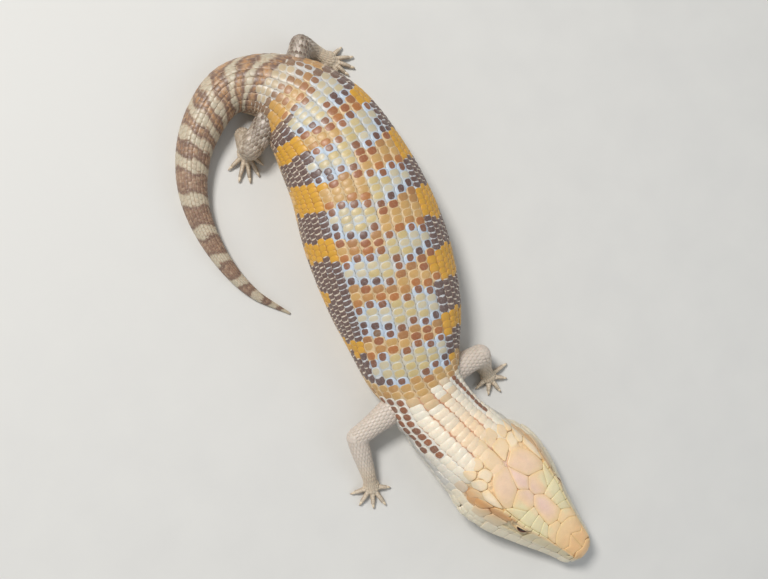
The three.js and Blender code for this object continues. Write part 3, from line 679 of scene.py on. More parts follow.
def trunk_paint(at, side, jitter):
    """Heart colour, rim colour and heart shape for scales on the trunk."""
    behind, ahead = band_distances(at + jitter * 0.4, side)
    near_band = np.minimum(behind, ahead)
    beyond = beyond_patch(side)
    behind, ahead = np.hypot(behind, beyond), np.hypot(ahead, beyond)
    near = np.minimum(behind, ahead)
    heart, rim = repeated(TONES["tan"], len(at)), repeated(TONES["sand"], len(at))
    # Dark rows get blue-white rims: a pale margin with a painted sheen of the sky on it.
    for where, inner, outer in (
        (behind < WARM_BEHIND, "rust", "sand"), (ahead < WARM_AHEAD, "brick", "sand"),
        (behind < DARK_BEHIND, "umber", "blue_margin_and_sheen"), (ahead < DARK_AHEAD, "slate", "blue_margin_and_sheen"),
        (near < PATCH_REACH, "cream", "chalk"),
    ):
        heart[where], rim[where] = TONES[inner], TONES[outer]
    dark = (near > PATCH_REACH) & ((behind < DARK_BEHIND) | (ahead < DARK_AHEAD))
    spine = hump(side, 0, 3.2) * dark
    heart, rim = tinted(heart, "rust", 0.6 * spine), tinted(rim, "sand", 0.5 * spine)
    heart = tinted(heart, "tan", 0.55 * (near > 5.4) * ramp(0.1, 0.9, -jitter))
    heart = tinted(heart, "brick", 0.5 * dark * ramp(0.2, 1.0, jitter))
    chalky = np.maximum(ramp(4, 9, np.abs(side) + 4 * jitter), 0.9 * ramp(164, 178, at))
    chalky = (near < PATCH_REACH) * chalky
    # The whiter cream scales get some of the same blue-white rims, partly painted sky sheen.
    heart, rim = tinted(heart, "chalk", 0.75 * chalky), tinted(rim, "blue_margin_and_sheen", 0.6 * chalky)
    fit = repeated(TOMBSTONE, len(at))
    fit[near < PATCH_REACH] = WHOLE
    fit[dark] = NARROW

    # The flank: dark bars on orange, and a paler row where it meets the back
    edge = back_edge(at, side) + 0.8 * jitter
    flank = np.abs(side) > edge
    bar = near_band + 0.7 * jitter < BAR_REACH
    merged = (side < 0) & (at > MERGED_BAR[0]) & (at - 0.1 * np.abs(side) < MERGED_BAR[1] - 1.5)
    bar |= merged & (np.abs(side) < 25 + jitter)
    heart[flank & bar], rim[flank & bar] = TONES["bar"], TONES["ash"]
    heart[flank & ~bar], rim[flank & ~bar] = TONES["amber"], TONES["honey"]
    fit[flank & bar], fit[flank & ~bar] = FORWARD, PLAIN_TILE
    # The top row of each bar gets blue-white rims too, partly a pale margin and partly painted sky
    # sheen.
    upper = flank & bar & (np.abs(side) < edge + 3.4)
    rim[upper] = tinted(rim, "blue_margin_and_sheen", 0.6)[upper]

    # The hips grow paler, and the belly is plain
    fading = (flank & ~bar) * ramp(174, 180, at + np.where(side > 0, 0, -10))
    heart, rim = tinted(heart, "tail_rust", 0.8 * fading), tinted(rim, "sand", 0.6 * fading)
    paler = 0.4 * ramp(172, 184, at)
    heart, rim = tinted(heart, "hip", paler), tinted(rim, "sand", paler)
    low = ramp(0.46, 0.62, np.abs(side) / half_girth(at) + 0.03 * jitter)
    heart = tinted(heart, "belly", low * np.where(bar, 0.75, 1.0))
    return heart, tinted(rim, "belly", low), fit


def one_heart(painter, at, side):
    """The heart colour of a single scale, to try a rule out."""
    return painter(np.array([float(at)]), np.array([float(side)]), np.zeros(1))[0][0].round(2)


print("heart of a cream scale:", one_heart(trunk_paint, 121, 2))
print("heart of a dark one behind it:", one_heart(trunk_paint, 125, 4))

# %% [markdown]
# On the neck the pattern runs lengthwise: cream columns with rusty lines between them, and a dark
# streak on each side. Streaks follow the columns of scales, so here a tone depends first on how far
# aside a scale lies, and luck frays the edge. Between neck and trunk lie a few rows of tan and rust.

# %% Paint of the neck and the shoulder
RIGHT_STREAK = (-10.0, -14.2, -18.2)   # mm aside: inner edge, where the frayed part begins, outer edge
LEFT_STREAK = (8.2, 12.2)


def neck_paint(at, side, jitter):
    """Cream columns with thin rusty lines between them and one dark streak on each side."""
    reach = np.abs(side)
    warm = hump(side, 0, 6.5) * (1 - ramp(56, 76, at))
    heart = tinted(TONES["milk"], "peach", np.clip(warm + 0.15 * jitter, 0, 1))
    # Painted shade: the scales lower on the side of the neck are greyed.
    heart = tinted(heart, "neck_side_shade", ramp(13, 20, reach))
    rusty = ramp(0.15, 0.9, jitter + 0.95 * ramp(64, 76, at) - 0.6) * (1 - ramp(11, 15, reach))
    heart = tinted(heart, "tan", 0.8 * rusty)
    plain = np.clip(ramp(9, 12.5, reach) + 0.7 * ramp(0.0, 0.9, -jitter), 0, 1)
    rim = tinted(TONES["blush"], "pearl", plain)
    fit = repeated(LENGTHWISE, len(at))
    frayed = jitter < 1.9 * ramp(58, 71, at) - 0.9
    inner, middle, outer = RIGHT_STREAK
    right = (side < inner) & ((side > middle) | ((side > outer) & frayed)) & (at > 57.5)
    left = (side > LEFT_STREAK[0]) & (side < LEFT_STREAK[1]) & (at > 57)
    for streak, shape in ((right, STREAK), (left, THIN)):
        heart[streak] = tinted(TONES["umber"], "brick", ramp(-0.6, 1, jitter))[streak]
        rim[streak] = TONES["pearl"]
        fit[streak] = shape
    below = ramp(20, 27, reach)
    return tinted(heart, "milk", below), tinted(rim, "pearl", below), fit


def shoulder_paint(at, side, jitter):
    """Tan and rust, between the neck and the first band."""
    heart = tinted(TONES["tan"], "rust", ramp(0.2, 1, np.abs(jitter)) * 0.7)
    low = ramp(0.5, 0.65, np.abs(side) / half_girth(at))
    return tinted(heart, "belly", low), repeated(TONES["sand"], len(at)), repeated(TOMBSTONE, len(at))


print("heart on the neck:", one_heart(neck_paint, 60, 2))
print("heart in its streak:", one_heart(neck_paint, 60, -12))

# %% [markdown]
# The tail has pale rings, mottled brown between them and darkest at their edges. Two crossed waves
# give the mottling, and they shift the rings' edges too, so that these are ragged like the real ones.
# One last function asks each painter in turn and keeps what belongs to its own part of the body.

# %% Paint of the tail, and the whole body
def tail_paint(at, side, jitter):
    """Pale slanting rings with mottled brown between, darkest beside the rings."""
    lean = np.interp(at, (200, 240, 294), (0.5, 0.22, 0.1))
    place = at + lean * side + 0.3 * jitter + 0.5 * np.sin(0.9 * side + 0.5 * at)
    i = np.clip(np.searchsorted(PALE_RINGS, place), 1, len(PALE_RINGS) - 1)
    near = np.minimum(np.abs(place - PALE_RINGS[i - 1]), np.abs(PALE_RINGS[i] - place))
    reach = np.interp(at, (190, 205, 240, 294), (1.1, 1.3, 1.9, 1.4))
    warm = 1 - ramp(212, 240, at)
    mottle = np.sin(2.9 * at + 1.7 * side) * np.sin(2.1 * side - 2.3 * at + 1.3) + 0.7 * jitter
    heart = tinted(TONES["tail_brown"], "tail_rust", warm * ramp(-0.6, 0.3, mottle))
    heart = tinted(heart, "tail_edge", 0.75 * ramp(0.5, 1.1, mottle))
    heart = tinted(heart, "tail_dark", hump(near, reach + 0.6, 0.7))
    heart = tinted(heart, "tail_dark", 0.7 * ramp(0.2, 0.9, -mottle))
    pale = 1 - ramp(-0.35, 0.35, near - reach + 0.25 * mottle)
    heart = tinted(heart, "tail_pale", pale * (1 - 0.3 * ramp(0.2, 0.9, mottle)))
    rim = tinted(heart, "tail_edge", 0.35)
    below = ramp(0.55, 0.8, np.abs(side) / half_girth(at))
    heart, rim = tinted(heart, "tail_pale", 0.75 * below), tinted(rim, "belly", below)
    return heart, rim, repeated(TAIL_TILE, len(at))


def body_paint(at, side, jitter):
    """The markings for every place behind the head."""
    place = at + 0.6 * jitter
    heart, rim, fit = trunk_paint(at, side, jitter)
    slant = 0.25 * np.maximum(np.abs(side) - 4, 0)
    for where, painter in (
        (place - slant < SHOULDER_END, shoulder_paint),
        (place - slant < NECK_END, neck_paint),
        (place + 0.5 * side > TAIL_PAINT_START, tail_paint),
    ):
        other = painter(at, side, jitter)
        heart[where], rim[where], fit[where] = other[0][where], other[1][where], other[2][where]
    return heart, rim, fit


print("heart in a pale ring:", one_heart(body_paint, 211.5, 0))
print("heart between two rings:", one_heart(body_paint, 215, 0))

# %% [markdown]
# The head has no bands. Warm cream runs over it, pinkish along the middle of the crown, greenish over
# the eyes, pale on the lips, with a rusty streak from each eye back to the ear.

# %% Colours of the head
HEAD_TONES = {name: linear(colour) for name, colour in {
    "cream": (252, 218, 170), "snout": (254, 206, 150), "rose": (240, 206, 194), "brow": (236, 226, 184),
    "ridge": (242, 226, 176), "cheek": (222, 208, 172), "lip": (230, 220, 196), "streak": (196, 138, 84),
    "temple": (230, 174, 112), "nape": (240, 216, 180), "throat": (236, 228, 210), "mouth": (84, 56, 46),
    "ear": (176, 144, 114),
}.items()}


def head_paint(at, step):
    """The ground colour of the head at a place, in mm from the snout tip and steps round."""
    at, step = np.broadcast_arrays(np.asarray(at, float), np.asarray(step, float))
    reach = np.abs(step)
    right = step < 0
    colour = np.broadcast_to(HEAD_TONES["cream"], (*at.shape, 3)).copy()
    streak_line = 2.35 + 0.06 * np.maximum(at - 28, 0)
    washes = [
        ("snout", (1 - ramp(5, 16, at)) * (1 - ramp(2.2, 3.2, reach))),
        ("rose", 0.85 * hump(step, 0, 0.55) * plateau(at, 16, 24, 42, 48)),
        ("rose", 0.45 * hump(reach, 0.95, 0.3) * hump(at, 39, 4)),
        ("brow", 0.9 * plateau(reach, 0.65, 0.95, 1.9, 2.1) * plateau(at, 14, 19, 30, 34)),
        ("nape", ramp(41, 50, at) * (1 - ramp(2.2, 3.0, reach))),
        ("cheek", ramp(2.1, 2.5, reach)),
        ("lip", ramp(3.4, 4.0, reach)),
        ("ridge", 0.7 * hump(reach, 1.98, 0.16) * plateau(at, 14, 18, 33, 37)),
        ("temple", 0.75 * hump(reach, streak_line, 0.55) * plateau(at, 26, 30, 44, 50)),
        ("streak", 0.85 * right * hump(reach, streak_line, 0.33) * plateau(at, 25, 29, 45, 50)),
        ("throat", ramp(5.3, 5.7, reach)),
    ]
    for name, share in washes:
        colour = blend(colour, HEAD_TONES[name], share)
    return colour


print("tones of the head:", len(HEAD_TONES))

# %% [markdown]
# ## One skin
#
# The skin that replaces the flesh is one closed surface, a scale's depth inside the solids. The trunk
# is a sleeve of rings through the body's road. Each leg is grown from tubes and balls, melted
# together by a voxel remesh, so that knee and ankle are round, and then joined to the trunk by a
# union. The toes stay crisp tubes with a step for each of the broad scutes that roof a real toe.

# %% Forms of the head and the skin
COAT = 0.45                # mm from the solids' surface down to the skin
LEG_COAT = 0.3
FLOOR_GAP = 0.25           # the skin's lowest height; the scales fill the rest
AROUND = 160               # points in one ring of the sleeve
MOUTH_LINE = 5.3           # steps round from the middle of the back
MOUTH_CORNER = 33          # mm from the snout
FOLDS = {
    # name: depth, place, slant, width, where it begins and where it is whole, in steps
    "jaw": (0.5, 47.5, 0.6, 1.5, 3.6, 4.8),
    "collar": (0.5, 66.5, 0.9, 1.4, 3.4, 4.6),
    "armpit": (0.4, 75, 0.5, 1.3, 3.8, 4.8),
}
EYE = {"at": 24.4, "step": 2.45, "radius": 2.5, "sink": 2.2, "length": 3.3, "height": 1.7}
EAR = {"at": 42.5, "step": 4.95, "radius": 1.8, "stretch": 1.3, "depth": 1.9}
NOSTRIL = {"at": 5.0, "step": 2.75, "radius": 0.55}


def head_swell(at, step):
    """Soft forms of the head: full lips and the rise over each eye."""
    reach = np.abs(step)
    lips = 0.3 * hump(reach, MOUTH_LINE, 0.42) * (1 - ramp(MOUTH_CORNER - 4, MOUTH_CORNER + 2, at))
    brow = 0.5 * np.exp(-((at - EYE["at"]) / 3.4) ** 2 - ((reach - EYE["step"]) / 0.72) ** 2)
    return lips + brow


def folds(at, step):
    """Creases of the loose skin: behind the jaw, across the throat's sides, and along the flank."""
    reach = np.abs(step)
    flank = 0.45 * hump(reach, 5.75, 0.3) * plateau(at, 86, 98, 166, 180)
    spine = 0.22 * hump(step, -0.25, 0.3) * plateau(at, 76, 84, 104, 116)
    across = sum(
        depth * hump(at, place + slant * (reach - 5), width) * ramp(start, whole, reach)
        for depth, place, slant, width, start, whole in FOLDS.values()
    )
    return across + flank + spine


def ear_distance(at, step):
    """0 in the middle of the ear opening and 1 on its rim."""
    along_it = (at - EAR["at"]) / EAR["radius"]
    across_it = (np.abs(step) - EAR["step"]) * 4.1 / (EAR["radius"] * EAR["stretch"])
    return np.sqrt(along_it ** 2 + across_it ** 2)


def head_point(at, step, out=0.0):
    """A point of the body with its lips, brows and folds."""
    at, step = np.asarray(at, float), np.asarray(step, float)
    return body_point(at, step, out + head_swell(at, step) - folds(at, step))


def skin_point(at, step):
    """The soft skin, with the mouth drawn in and the ears as cups."""
    ahead_of_corner = 1 - ramp(MOUTH_CORNER - 1, MOUTH_CORNER + 1, at)
    mouth = 0.6 * hump(np.abs(step), MOUTH_LINE, 0.12) * ahead_of_corner
    ear = EAR["depth"] * np.clip(1 - ear_distance(at, step) ** 2, 0, 1)
    nose_step = np.abs(step) - NOSTRIL["step"]
    nose = 1.1 * np.exp(-((at - NOSTRIL["at"]) / 0.8) ** 2 - (nose_step / 0.33) ** 2)
    points = head_point(at, step, -COAT - mouth - ear - nose)
    points[..., 2] = np.maximum(points[..., 2], FLOOR_GAP)
    return points


print("bottom of the ear cup:", skin_point(EAR["at"], -EAR["step"]).round(1), "mm")

# %% [markdown]
# A sleeve is rings of points with four-cornered faces between them. A sphere or a cylinder of Blender's
# could be bent into shape, but a sleeve made from arrays lies exactly where the road says.

# %% Sleeve of the trunk
def ring_faces(rings, size):
    """Quads that join rings of equal size into a sleeve."""
    i, j = np.meshgrid(np.arange(rings - 1), np.arange(size), indexing="ij")
    a, b = i * size + j, i * size + (j + 1) % size
    return np.stack([a, b, b + size, a + size], -1).reshape(-1, 4)


def hub_faces(rings, size):
    """Triangles from the last ring to one middle point that follows it."""
    j = np.arange(size)
    last = (rings - 1) * size
    return np.stack([last + j, last + (j + 1) % size, np.full(size, last + size)], -1)


def end_caps(rings, size):
    """Triangles from the first and last ring to two centre points that follow the rings."""
    j = np.arange(size)
    k = (j + 1) % size
    first, last = rings * size, rings * size + 1
    low = np.stack([np.full(size, first), k, j], -1)
    high = np.stack([np.full(size, last), (rings - 1) * size + j, (rings - 1) * size + k], -1)
    return np.concatenate([low, high])


def merged(forms):
    """Several forms as one: their points, and each of their sets of faces."""
    starts = np.cumsum([0, *(len(points) for points, _ in forms[:-1])])
    kinds = zip(*(face_sets for _, face_sets in forms))
    return np.concatenate([points for points, _ in forms]), [
        np.concatenate([faces + start for faces, start in zip(kind, starts)]) for kind in kinds]


def sleeve(name, loops, material):
    """A closed tube through loops of points."""
    rings, size = loops.shape[:2]
    points = np.concatenate([loops.reshape(-1, 3), loops[0].mean(0)[None], loops[-1].mean(0)[None]])
    thing = make_object(name, points, [ring_faces(rings, size), end_caps(rings, size)], material)
    return facing_out(thing)


def points_of(thing):
    """The points of an object's mesh, in metres."""
    return np.array([v.co for v in thing.data.vertices])


def facing_out(thing):
    """Turns a closed mesh inside out where its faces ran the other way."""
    mesh = thing.data
    mesh.calc_loop_triangles()
    corners = np.array([t.vertices for t in mesh.loop_triangles])
    a, b, c = points_of(thing)[corners].swapaxes(0, 1)
    if (a * np.cross(b, c)).sum() < 0:
        mesh.flip_normals()
    return thing


ring_places = np.concatenate([
    [TIP, 0.3, 0.55, 0.85, 1.2, 1.6, 2.05], np.arange(2.5, 48, 0.5), np.arange(48, 200, 0.95),
    np.arange(200, 294, 0.8), [TAIL_END],
])
share_ring = (np.arange(AROUND) / AROUND) * 2 - 1
skin_steps = step_of_share(np.repeat(ring_places[:, None], AROUND, 1), share_ring[None, :])
trunk = sleeve("trunk", skin_point(ring_places[:, None], skin_steps), soft_skin)
print("trunk sleeve:", len(ring_places), "rings of", AROUND)

# %% [markdown]
# ## Legs
#
# Each leg is a chain of named joints, the same as in the solids, with toes that fan out from the sole.

# %% Leg joints
JOINTS = ("root", "knee", "ankle", "foot")
LEGS = {
    "foreleg_right": {
        "root": (-9, -49, 9.5), "knee": (-31.2, -54.6, 8), "ankle": (-32, -67.6, 3.6),
        "foot": (-32.4, -71.6, 1.5), "radii": (4.0, 3.3, 2.7), "palm": 2.9,
        "tips": ((-26.6, -74.7), (-30.4, -79.4), (-34.6, -78.6), (-38.5, -75.6), (-39.6, -71)),
    },
    "foreleg_left": {
        "root": (-1, -48, 9.5), "knee": (16.6, -47.2, 8.6), "ankle": (17.6, -52.4, 3.6),
        "foot": (18.3, -55.4, 1.5), "radii": (4.2, 3.7, 2.8), "palm": 2.9,
        "tips": ((12.7, -57.6), (15.9, -61.4), (20.4, -62.2), (24.4, -58.8), (26.4, -54.2)),
    },
    "hindleg_right": {
        "root": (-8, 54, 9), "knee": (-25.4, 43.6, 8), "ankle": (-25.2, 49.8, 3.2),
        "foot": (-26.2, 44.0, 1.6), "radii": (4.6, 3.9, 2.9), "palm": 3.1,
        "tips": ((-22.4, 38.2), (-25.2, 35.2), (-28.8, 34.4), (-32.2, 36.0), (-33.8, 41.0)),
    },
    "hindleg_left": {
        "root": (-5, 57, 9), "knee": (3.6, 69.2, 7.6), "ankle": (8.2, 67.0, 3.2),
        "foot": (11.8, 63.2, 1.6), "radii": (4.6, 3.6, 2.8), "palm": 3.1,
        "tips": ((13.2, 56.8), (16.4, 55.8), (19.4, 57.4), (20.6, 61.2), (18.2, 65.8)),
    },
}
for leg in LEGS.values():
    leg.update({joint: np.array(leg[joint], float) for joint in JOINTS})

print("legs:", list(LEGS), "toes:", sum(len(leg["tips"]) for leg in LEGS.values()))

# %% [markdown]
# Bones are straight but limbs are soft, so each part is a tube whose thickness changes along a smooth
# curve, and a ball fills each joint.

# %% Tubes and balls
TOE_RADIUS = 0.72
CLAW_LENGTH = 1.9
SCUTES = 8                 # broad scales along the top of one toe
VOXEL = 0.42               # mm, the grain of the remesh
TUBE_SIDES, TOE_SIDES = 20, 12
BALL_RINGS = 14
BONE_POINTS = 12           # rings along one bone
KNUCKLE_HEIGHT, CLAW_ROOT_HEIGHT, TIP_HEIGHT = 1.5, 0.78, 0.6


def curve_through(points, count):
    """Evenly spread points on a smooth curve through a few named ones."""
    points = np.asarray(points, float)
    padded = np.vstack([2 * points[0] - points[1], points, 2 * points[-1] - points[-2]])
    t = np.linspace(0, len(points) - 1 - 1e-9, count)
    i = t.astype(int)
    u = (t - i)[:, None]
    return through_four(padded[i], padded[i + 1], padded[i + 2], padded[i + 3], u)


def tube_loops(path, radii, flat=1.0, sides=TUBE_SIDES):
    """Rings of points round a path; radii has one radius for each point of the path."""
    loops = []
    side = None
    for i, centre in enumerate(path):
        forward = unit(path[min(i + 1, len(path) - 1)] - path[max(i - 1, 0)])
        if side is None:
            side = np.cross(UP, forward)
            if np.linalg.norm(side) < 0.2:
                side = np.array([1.0, 0, 0])
        side = unit(side - forward * (side @ forward))
        up = np.cross(forward, side)
        turn = full_turn(sides)[:, None]
        loops.append(centre + (np.cos(turn) * side + np.sin(turn) * up * flat) * radii[i])
    return np.array(loops)


def ball_loops(centre, radius, flat=1.0):
    """Level rings of a ball, without its two poles."""
    lift = np.linspace(-math.pi / 2, math.pi / 2, BALL_RINGS)[1:-1]
    turn = full_turn(TUBE_SIDES)[:, None]
    ring = np.concatenate([np.cos(turn), np.sin(turn), turn * 0], axis=1)
    middles = [centre + (0, 0, math.sin(angle) * radius * flat) for angle in lift]
    return np.array([p + ring * math.cos(angle) * radius for p, angle in zip(middles, lift)])


print("points of a joint's ball:", (BALL_RINGS - 2) * TUBE_SIDES)

# %% [markdown]
# A voxel remesh fills forms that overlap with small cubes and wraps one surface round them: it rounds
# the creases between them, where a union would keep them sharp. A union keeps each form as it is, so it
# is used for the toes and for joining a leg to the trunk.

# %% Melting and joining
def baked(thing):
    """Replaces an object's mesh by the one its modifiers make."""
    graph = bpy.context.evaluated_depsgraph_get()
    mesh = bpy.data.meshes.new_from_object(thing.evaluated_get(graph))
    thing.modifiers.clear()
    thing.data = mesh
    return thing


def joined(things, name):
    """Several meshes in one object, with no faces shared."""
    forms = []
    for thing in things:
        faces = [face.vertices[:] for face in thing.data.polygons]
        face_sets = [np.array([face for face in faces if len(face) == size]) for size in (3, 4)]
        forms.append((points_of(thing) / MM, face_sets))
        bpy.data.objects.remove(thing)
    return make_object(name, *merged(forms), soft_skin)


def remeshed(thing, voxel, rounds):
    """Melts overlapping closed forms into one surface and rubs it smooth."""
    remesh = thing.modifiers.new("melt", "REMESH")
    remesh.mode = "VOXEL"
    remesh.voxel_size = voxel * MM
    remesh.use_smooth_shade = True
    rub = thing.modifiers.new("rub", "SMOOTH")
    rub.factor = 0.5
    rub.iterations = rounds
    return baked(thing)


def united(thing, other):
    """Joins another closed mesh on, and removes it."""
    union = thing.modifiers.new("join", "BOOLEAN")
    union.operation = "UNION"
    union.solver = "MANIFOLD"
    union.object = other
    baked(thing)
    bpy.data.objects.remove(other)
    return thing


print("voxel:", VOXEL, "mm")

# %% [markdown]
# A thigh is thick at the hip and slims towards the knee, a shank narrows to the ankle, and a wrist is
# flat. A toe's outline steps at every scute, the broad scale that roofs one joint of the toe.

# %% Forms of a leg and its toes
def leg_forms(leg):
    """The closed forms of one leg above the toes: thigh, shank, joints, wrist and palm."""
    root, knee, ankle, foot = (leg[joint] for joint in JOINTS)
    top, middle, low = (radius - LEG_COAT * 0.6 for radius in leg["radii"])
    palm = leg["palm"] - LEG_COAT * 0.6
    share = np.linspace(0, 1, BONE_POINTS)
    thigh = np.interp(share, (0, 0.45, 0.75, 1), (top * 1.3, top * 1.08, middle * 1.05, middle))
    shank = np.interp(share, (0, 0.35, 1), (middle, (middle + low) / 2 + 0.2, low * 0.85))
    wrist = np.linspace(low * 0.85, palm * 0.7, BONE_POINTS)
    forms = {
        "thigh": tube_loops(curve_through([root, knee], BONE_POINTS), thigh),
        "knee": ball_loops(knee, middle),
        "shank": tube_loops(curve_through([knee, ankle], BONE_POINTS), shank),
        "ankle": ball_loops(ankle, low * 0.87),
        "wrist": tube_loops(curve_through([ankle, foot], BONE_POINTS), wrist, 0.9),
        "palm": ball_loops(foot, palm, 0.62),
    }
    return [sleeve(name, loops, soft_skin) for name, loops in forms.items()]


def toe_path(leg, tip):
    """Where one toe runs: out of the palm, over the knuckle and down to the claw's root."""
    tip = np.array((*tip, TIP_HEIGHT))
    away = unit(tip - leg["foot"])
    start = leg["foot"] + away * leg["palm"] * 0.4
    knuckle = (start + tip) / 2
    knuckle[2] = KNUCKLE_HEIGHT
    end = tip - away * CLAW_LENGTH * 0.8
    end[2] = CLAW_ROOT_HEIGHT
    return start, knuckle, end, tip


def toe_radius(share):
    """How thick a toe is at a share of its length."""
    return np.interp(share, (0, 0.5, 0.9, 1), (1.3, 1.02, 0.9, 0.55)) * TOE_RADIUS


def toe(leg, tip):
    """A toe with a step in its outline for every scute."""
    rings = SCUTES * 5 + 1
    share = np.linspace(0, 1, rings)
    radii = toe_radius(share) * (0.95 + 0.1 * ((share * SCUTES) % 1.0) ** 1.5)
    path = curve_through(toe_path(leg, tip)[:3], rings)
    return sleeve("toe", tube_loops(path, radii, 0.95, TOE_SIDES), soft_skin)


print("thickness of a toe from palm to claw, mm:", [round(2 * toe_radius(s), 2) for s in (0, 0.5, 1)])

# %% [markdown]
# The leg's main forms are melted together first, then the toes are joined on as they are.

# %% Grow the legs and join everything
skin = trunk
for leg_name, leg in LEGS.items():
    limb = remeshed(joined(leg_forms(leg), leg_name), VOXEL, 6)
    for tip in leg["tips"]:
        limb = united(limb, toe(leg, tip))
    lows = points_of(limb)
    lows[:, 2] = np.maximum(lows[:, 2], FLOOR_GAP * MM * 0.6)
    limb.data.vertices.foreach_set("co", lows.astype(np.float32).ravel())
    skin = united(skin, limb)
skin.name = "skin"
skin.data.name = "skin"
print("skin faces:", len(skin.data.polygons))

# %% [markdown]
# The union has forgotten which point came from where, so the tones are found again from the place
# itself: each point of the skin looks up the nearest address on the body or on a leg.

# %% Tones of the skin
DULL = 0.72                # skin between scales is darker than the scales


def segment_distance(points, start, end):
    """How far each point lies from the line between two others."""
    run = end - start
    t = np.clip(((points - start) @ run) / (run @ run), 0, 1)
    return np.linalg.norm(points - (start + t[:, None] * run), axis=1)


def leg_tone(name, points, jitter):
    """Pale forelegs, mottled brown hind legs and cream feet."""
    share, speckle, blotched = (0.06, 0.12, 0.0) if name.startswith("fore") else (0.78, 0.4, 0.6)
    x, y, z = points.T
    blotch = np.sin(1.3 * x + 0.8 * y) * np.sin(1.2 * y - 0.9 * z + 0.6)
    spots = np.clip(share + speckle * jitter + blotched * blotch, 0, 1)
    near_foot = 1 - ramp(4, 13, np.linalg.norm(points - LEGS[name]["foot"], axis=1))
    return tinted(tinted(TONES["leg"], "leg_dark", spots), "foot", 0.85 * near_foot)


def colour_skin():
    """Gives every point of the skin its tone."""
    points = points_of(skin) / MM
    addresses = kdtree.KDTree(len(ring_places) * AROUND)
    grid = body_point(ring_places[:, None], skin_steps, -COAT).reshape(-1, 3)
    for i, p in enumerate(grid):
        addresses.insert(p, i)
    addresses.balance()
    nearest = np.array([addresses.find(p)[1:] for p in points])
    index = nearest[:, 0].astype(int)
    at = np.repeat(ring_places, AROUND)[index]
    step = skin_steps.ravel()[index]
    share = np.tile(share_ring, len(ring_places))[index]
    side = share * half_girth(at) - spine_drift(at)
    heart, rim, _ = body_paint(at, side, np.zeros(len(at)))
    tone = blend(heart, rim, 0.5)
    on_head = 1 - ramp(46, 52, at)
    tone = blend(tone, head_paint(at, step) * 1.3, on_head)
    # Painted shade: the sunk line of the mouth and the nostril pits are darkened towards the dark mouth
    # tone.
    ahead_of_corner = 1 - ramp(MOUTH_CORNER - 1, MOUTH_CORNER + 1, at)
    lips = hump(np.abs(step), MOUTH_LINE, 0.14) * ahead_of_corner
    tone = blend(tone, HEAD_TONES["ear"], 1 - ramp(0.4, 1.0, ear_distance(at, step)))
    nose = np.hypot(at - NOSTRIL["at"], (np.abs(step) - NOSTRIL["step"]) * 2.4)
    hollow_shade = np.maximum(lips, 0.9 * (1 - ramp(0.5, 1.1, nose)))
    tone = blend(tone * DULL, HEAD_TONES["mouth"], hollow_shade)
    on_leg = nearest[:, 1] > 0.8
    for name, leg in LEGS.items():
        joints = [leg[joint] for joint in JOINTS]
        far = [segment_distance(points, a, b) for a, b in zip(joints, joints[1:])]
        toes = [toe_path(leg, tip) for tip in leg["tips"]]
        far += [segment_distance(points, start, end) + 2 for start, _, end, _ in toes]
        mine = on_leg & (np.min(far, axis=0) < 7)
        tone[mine] = leg_tone(name, points[mine], np.zeros(mine.sum())) * (0.5 + 0.5 * DULL)
    hang(skin.data, "tone", tone)


colour_skin()
flesh = [name for name in NODES if not name.startswith("eye")]
hand_over(skin, flesh)

# %% [markdown]
# ## One scale
#
# A scale is a rounded tile: nearly flat on top, a little crowned, with its hidden front edge sunk in
# the skin and its free rear edge raised over the next one. It is drawn once, as rings of points that
# run from a skirt under the rim to the middle, and then laid out thousands of times by arithmetic.

# %% The scale's pattern
SQUARENESS = 2.7           # 2 is an oval, and more goes towards a rectangle


def scale_pattern(sides, shares):
    """Across, along and share-of-the-way-out for each point of one scale, and its faces."""
    turn = (np.arange(sides) + 0.5) / sides * 2 * math.pi
    power = 2 / SQUARENESS
    edge = np.stack([np.sign(wave) * np.abs(wave) ** power for wave in (np.cos(turn), np.sin(turn))], -1)
    rings = np.concatenate([*[edge * share for share in shares], np.zeros((1, 2))])
    return {
        "across": rings[:, 0], "endwise": rings[:, 1],
        "share": np.concatenate([np.repeat(shares, sides), [0]]),
        "skirt": (np.arange(len(rings)) < sides).astype(float),
        "quads": ring_faces(len(shares), sides),
        "hub": hub_faces(len(shares), sides),
    }


# The first two rings are the foot of the skirt and the rim above it
FINE = scale_pattern(20, (1.0, 1.0, 0.95, 0.8, 0.5))
PLAIN = scale_pattern(14, (1.0, 1.0, 0.9, 0.55))
RIM_SHARE = 0.97           # points farther out than this are on the rim


def scale_heights(pattern, tilt, crown, depth):
    """How high each point of the pattern lies over the skin: arrays of one row for each scale."""
    endwise = pattern["endwise"][None, :]
    share = pattern["share"][None, :]
    rise = tilt[:, None] * (endwise * 0.5 + 0.5)
    dome = crown[:, None] * (1 - share ** 2.2)
    rim = -0.1 * (share > RIM_SHARE)
    return rise + dome + rim - pattern["skirt"][None, :] * depth


def copies(pattern, count):
    """Face sets of the pattern, repeated for every scale."""
    start = (np.arange(count) * len(pattern["share"]))[:, None, None]
    return [(pattern[key][None] + start).reshape(-1, pattern[key].shape[1]) for key in ("quads", "hub")]


def scale_object(name, pattern, points, heart, rim, window, fit, jitter, bake):
    """Scales as one object, with what the horn has to know on every point.

    window runs from -1 to 1 along the part that shows, and fit has one heart shape for each scale.
    """
    across = pattern["across"][None]
    bowed = window * fit[:, 1:2] + fit[:, 2:3] - across ** 2 * fit[:, 3:4]
    luck = np.broadcast_to(jitter[:, None], bowed.shape)
    return make_object(
        name, points.reshape(-1, 3), copies(pattern, len(points)), scale_horn, bake.reshape(-1, 2),
        heart=heart, rim=rim, spot=np.stack([across * fit[:, :1], bowed, luck], -1).reshape(-1, 3),
        # The outer ring carries painted groove shade, as strong as the heart's shape sets.
        seam=(pattern["share"] > RIM_SHARE) * fit[:, 4:],
    )


print("points of one scale:", len(FINE["share"]), "and on legs and tail tip:", len(PLAIN["share"]))

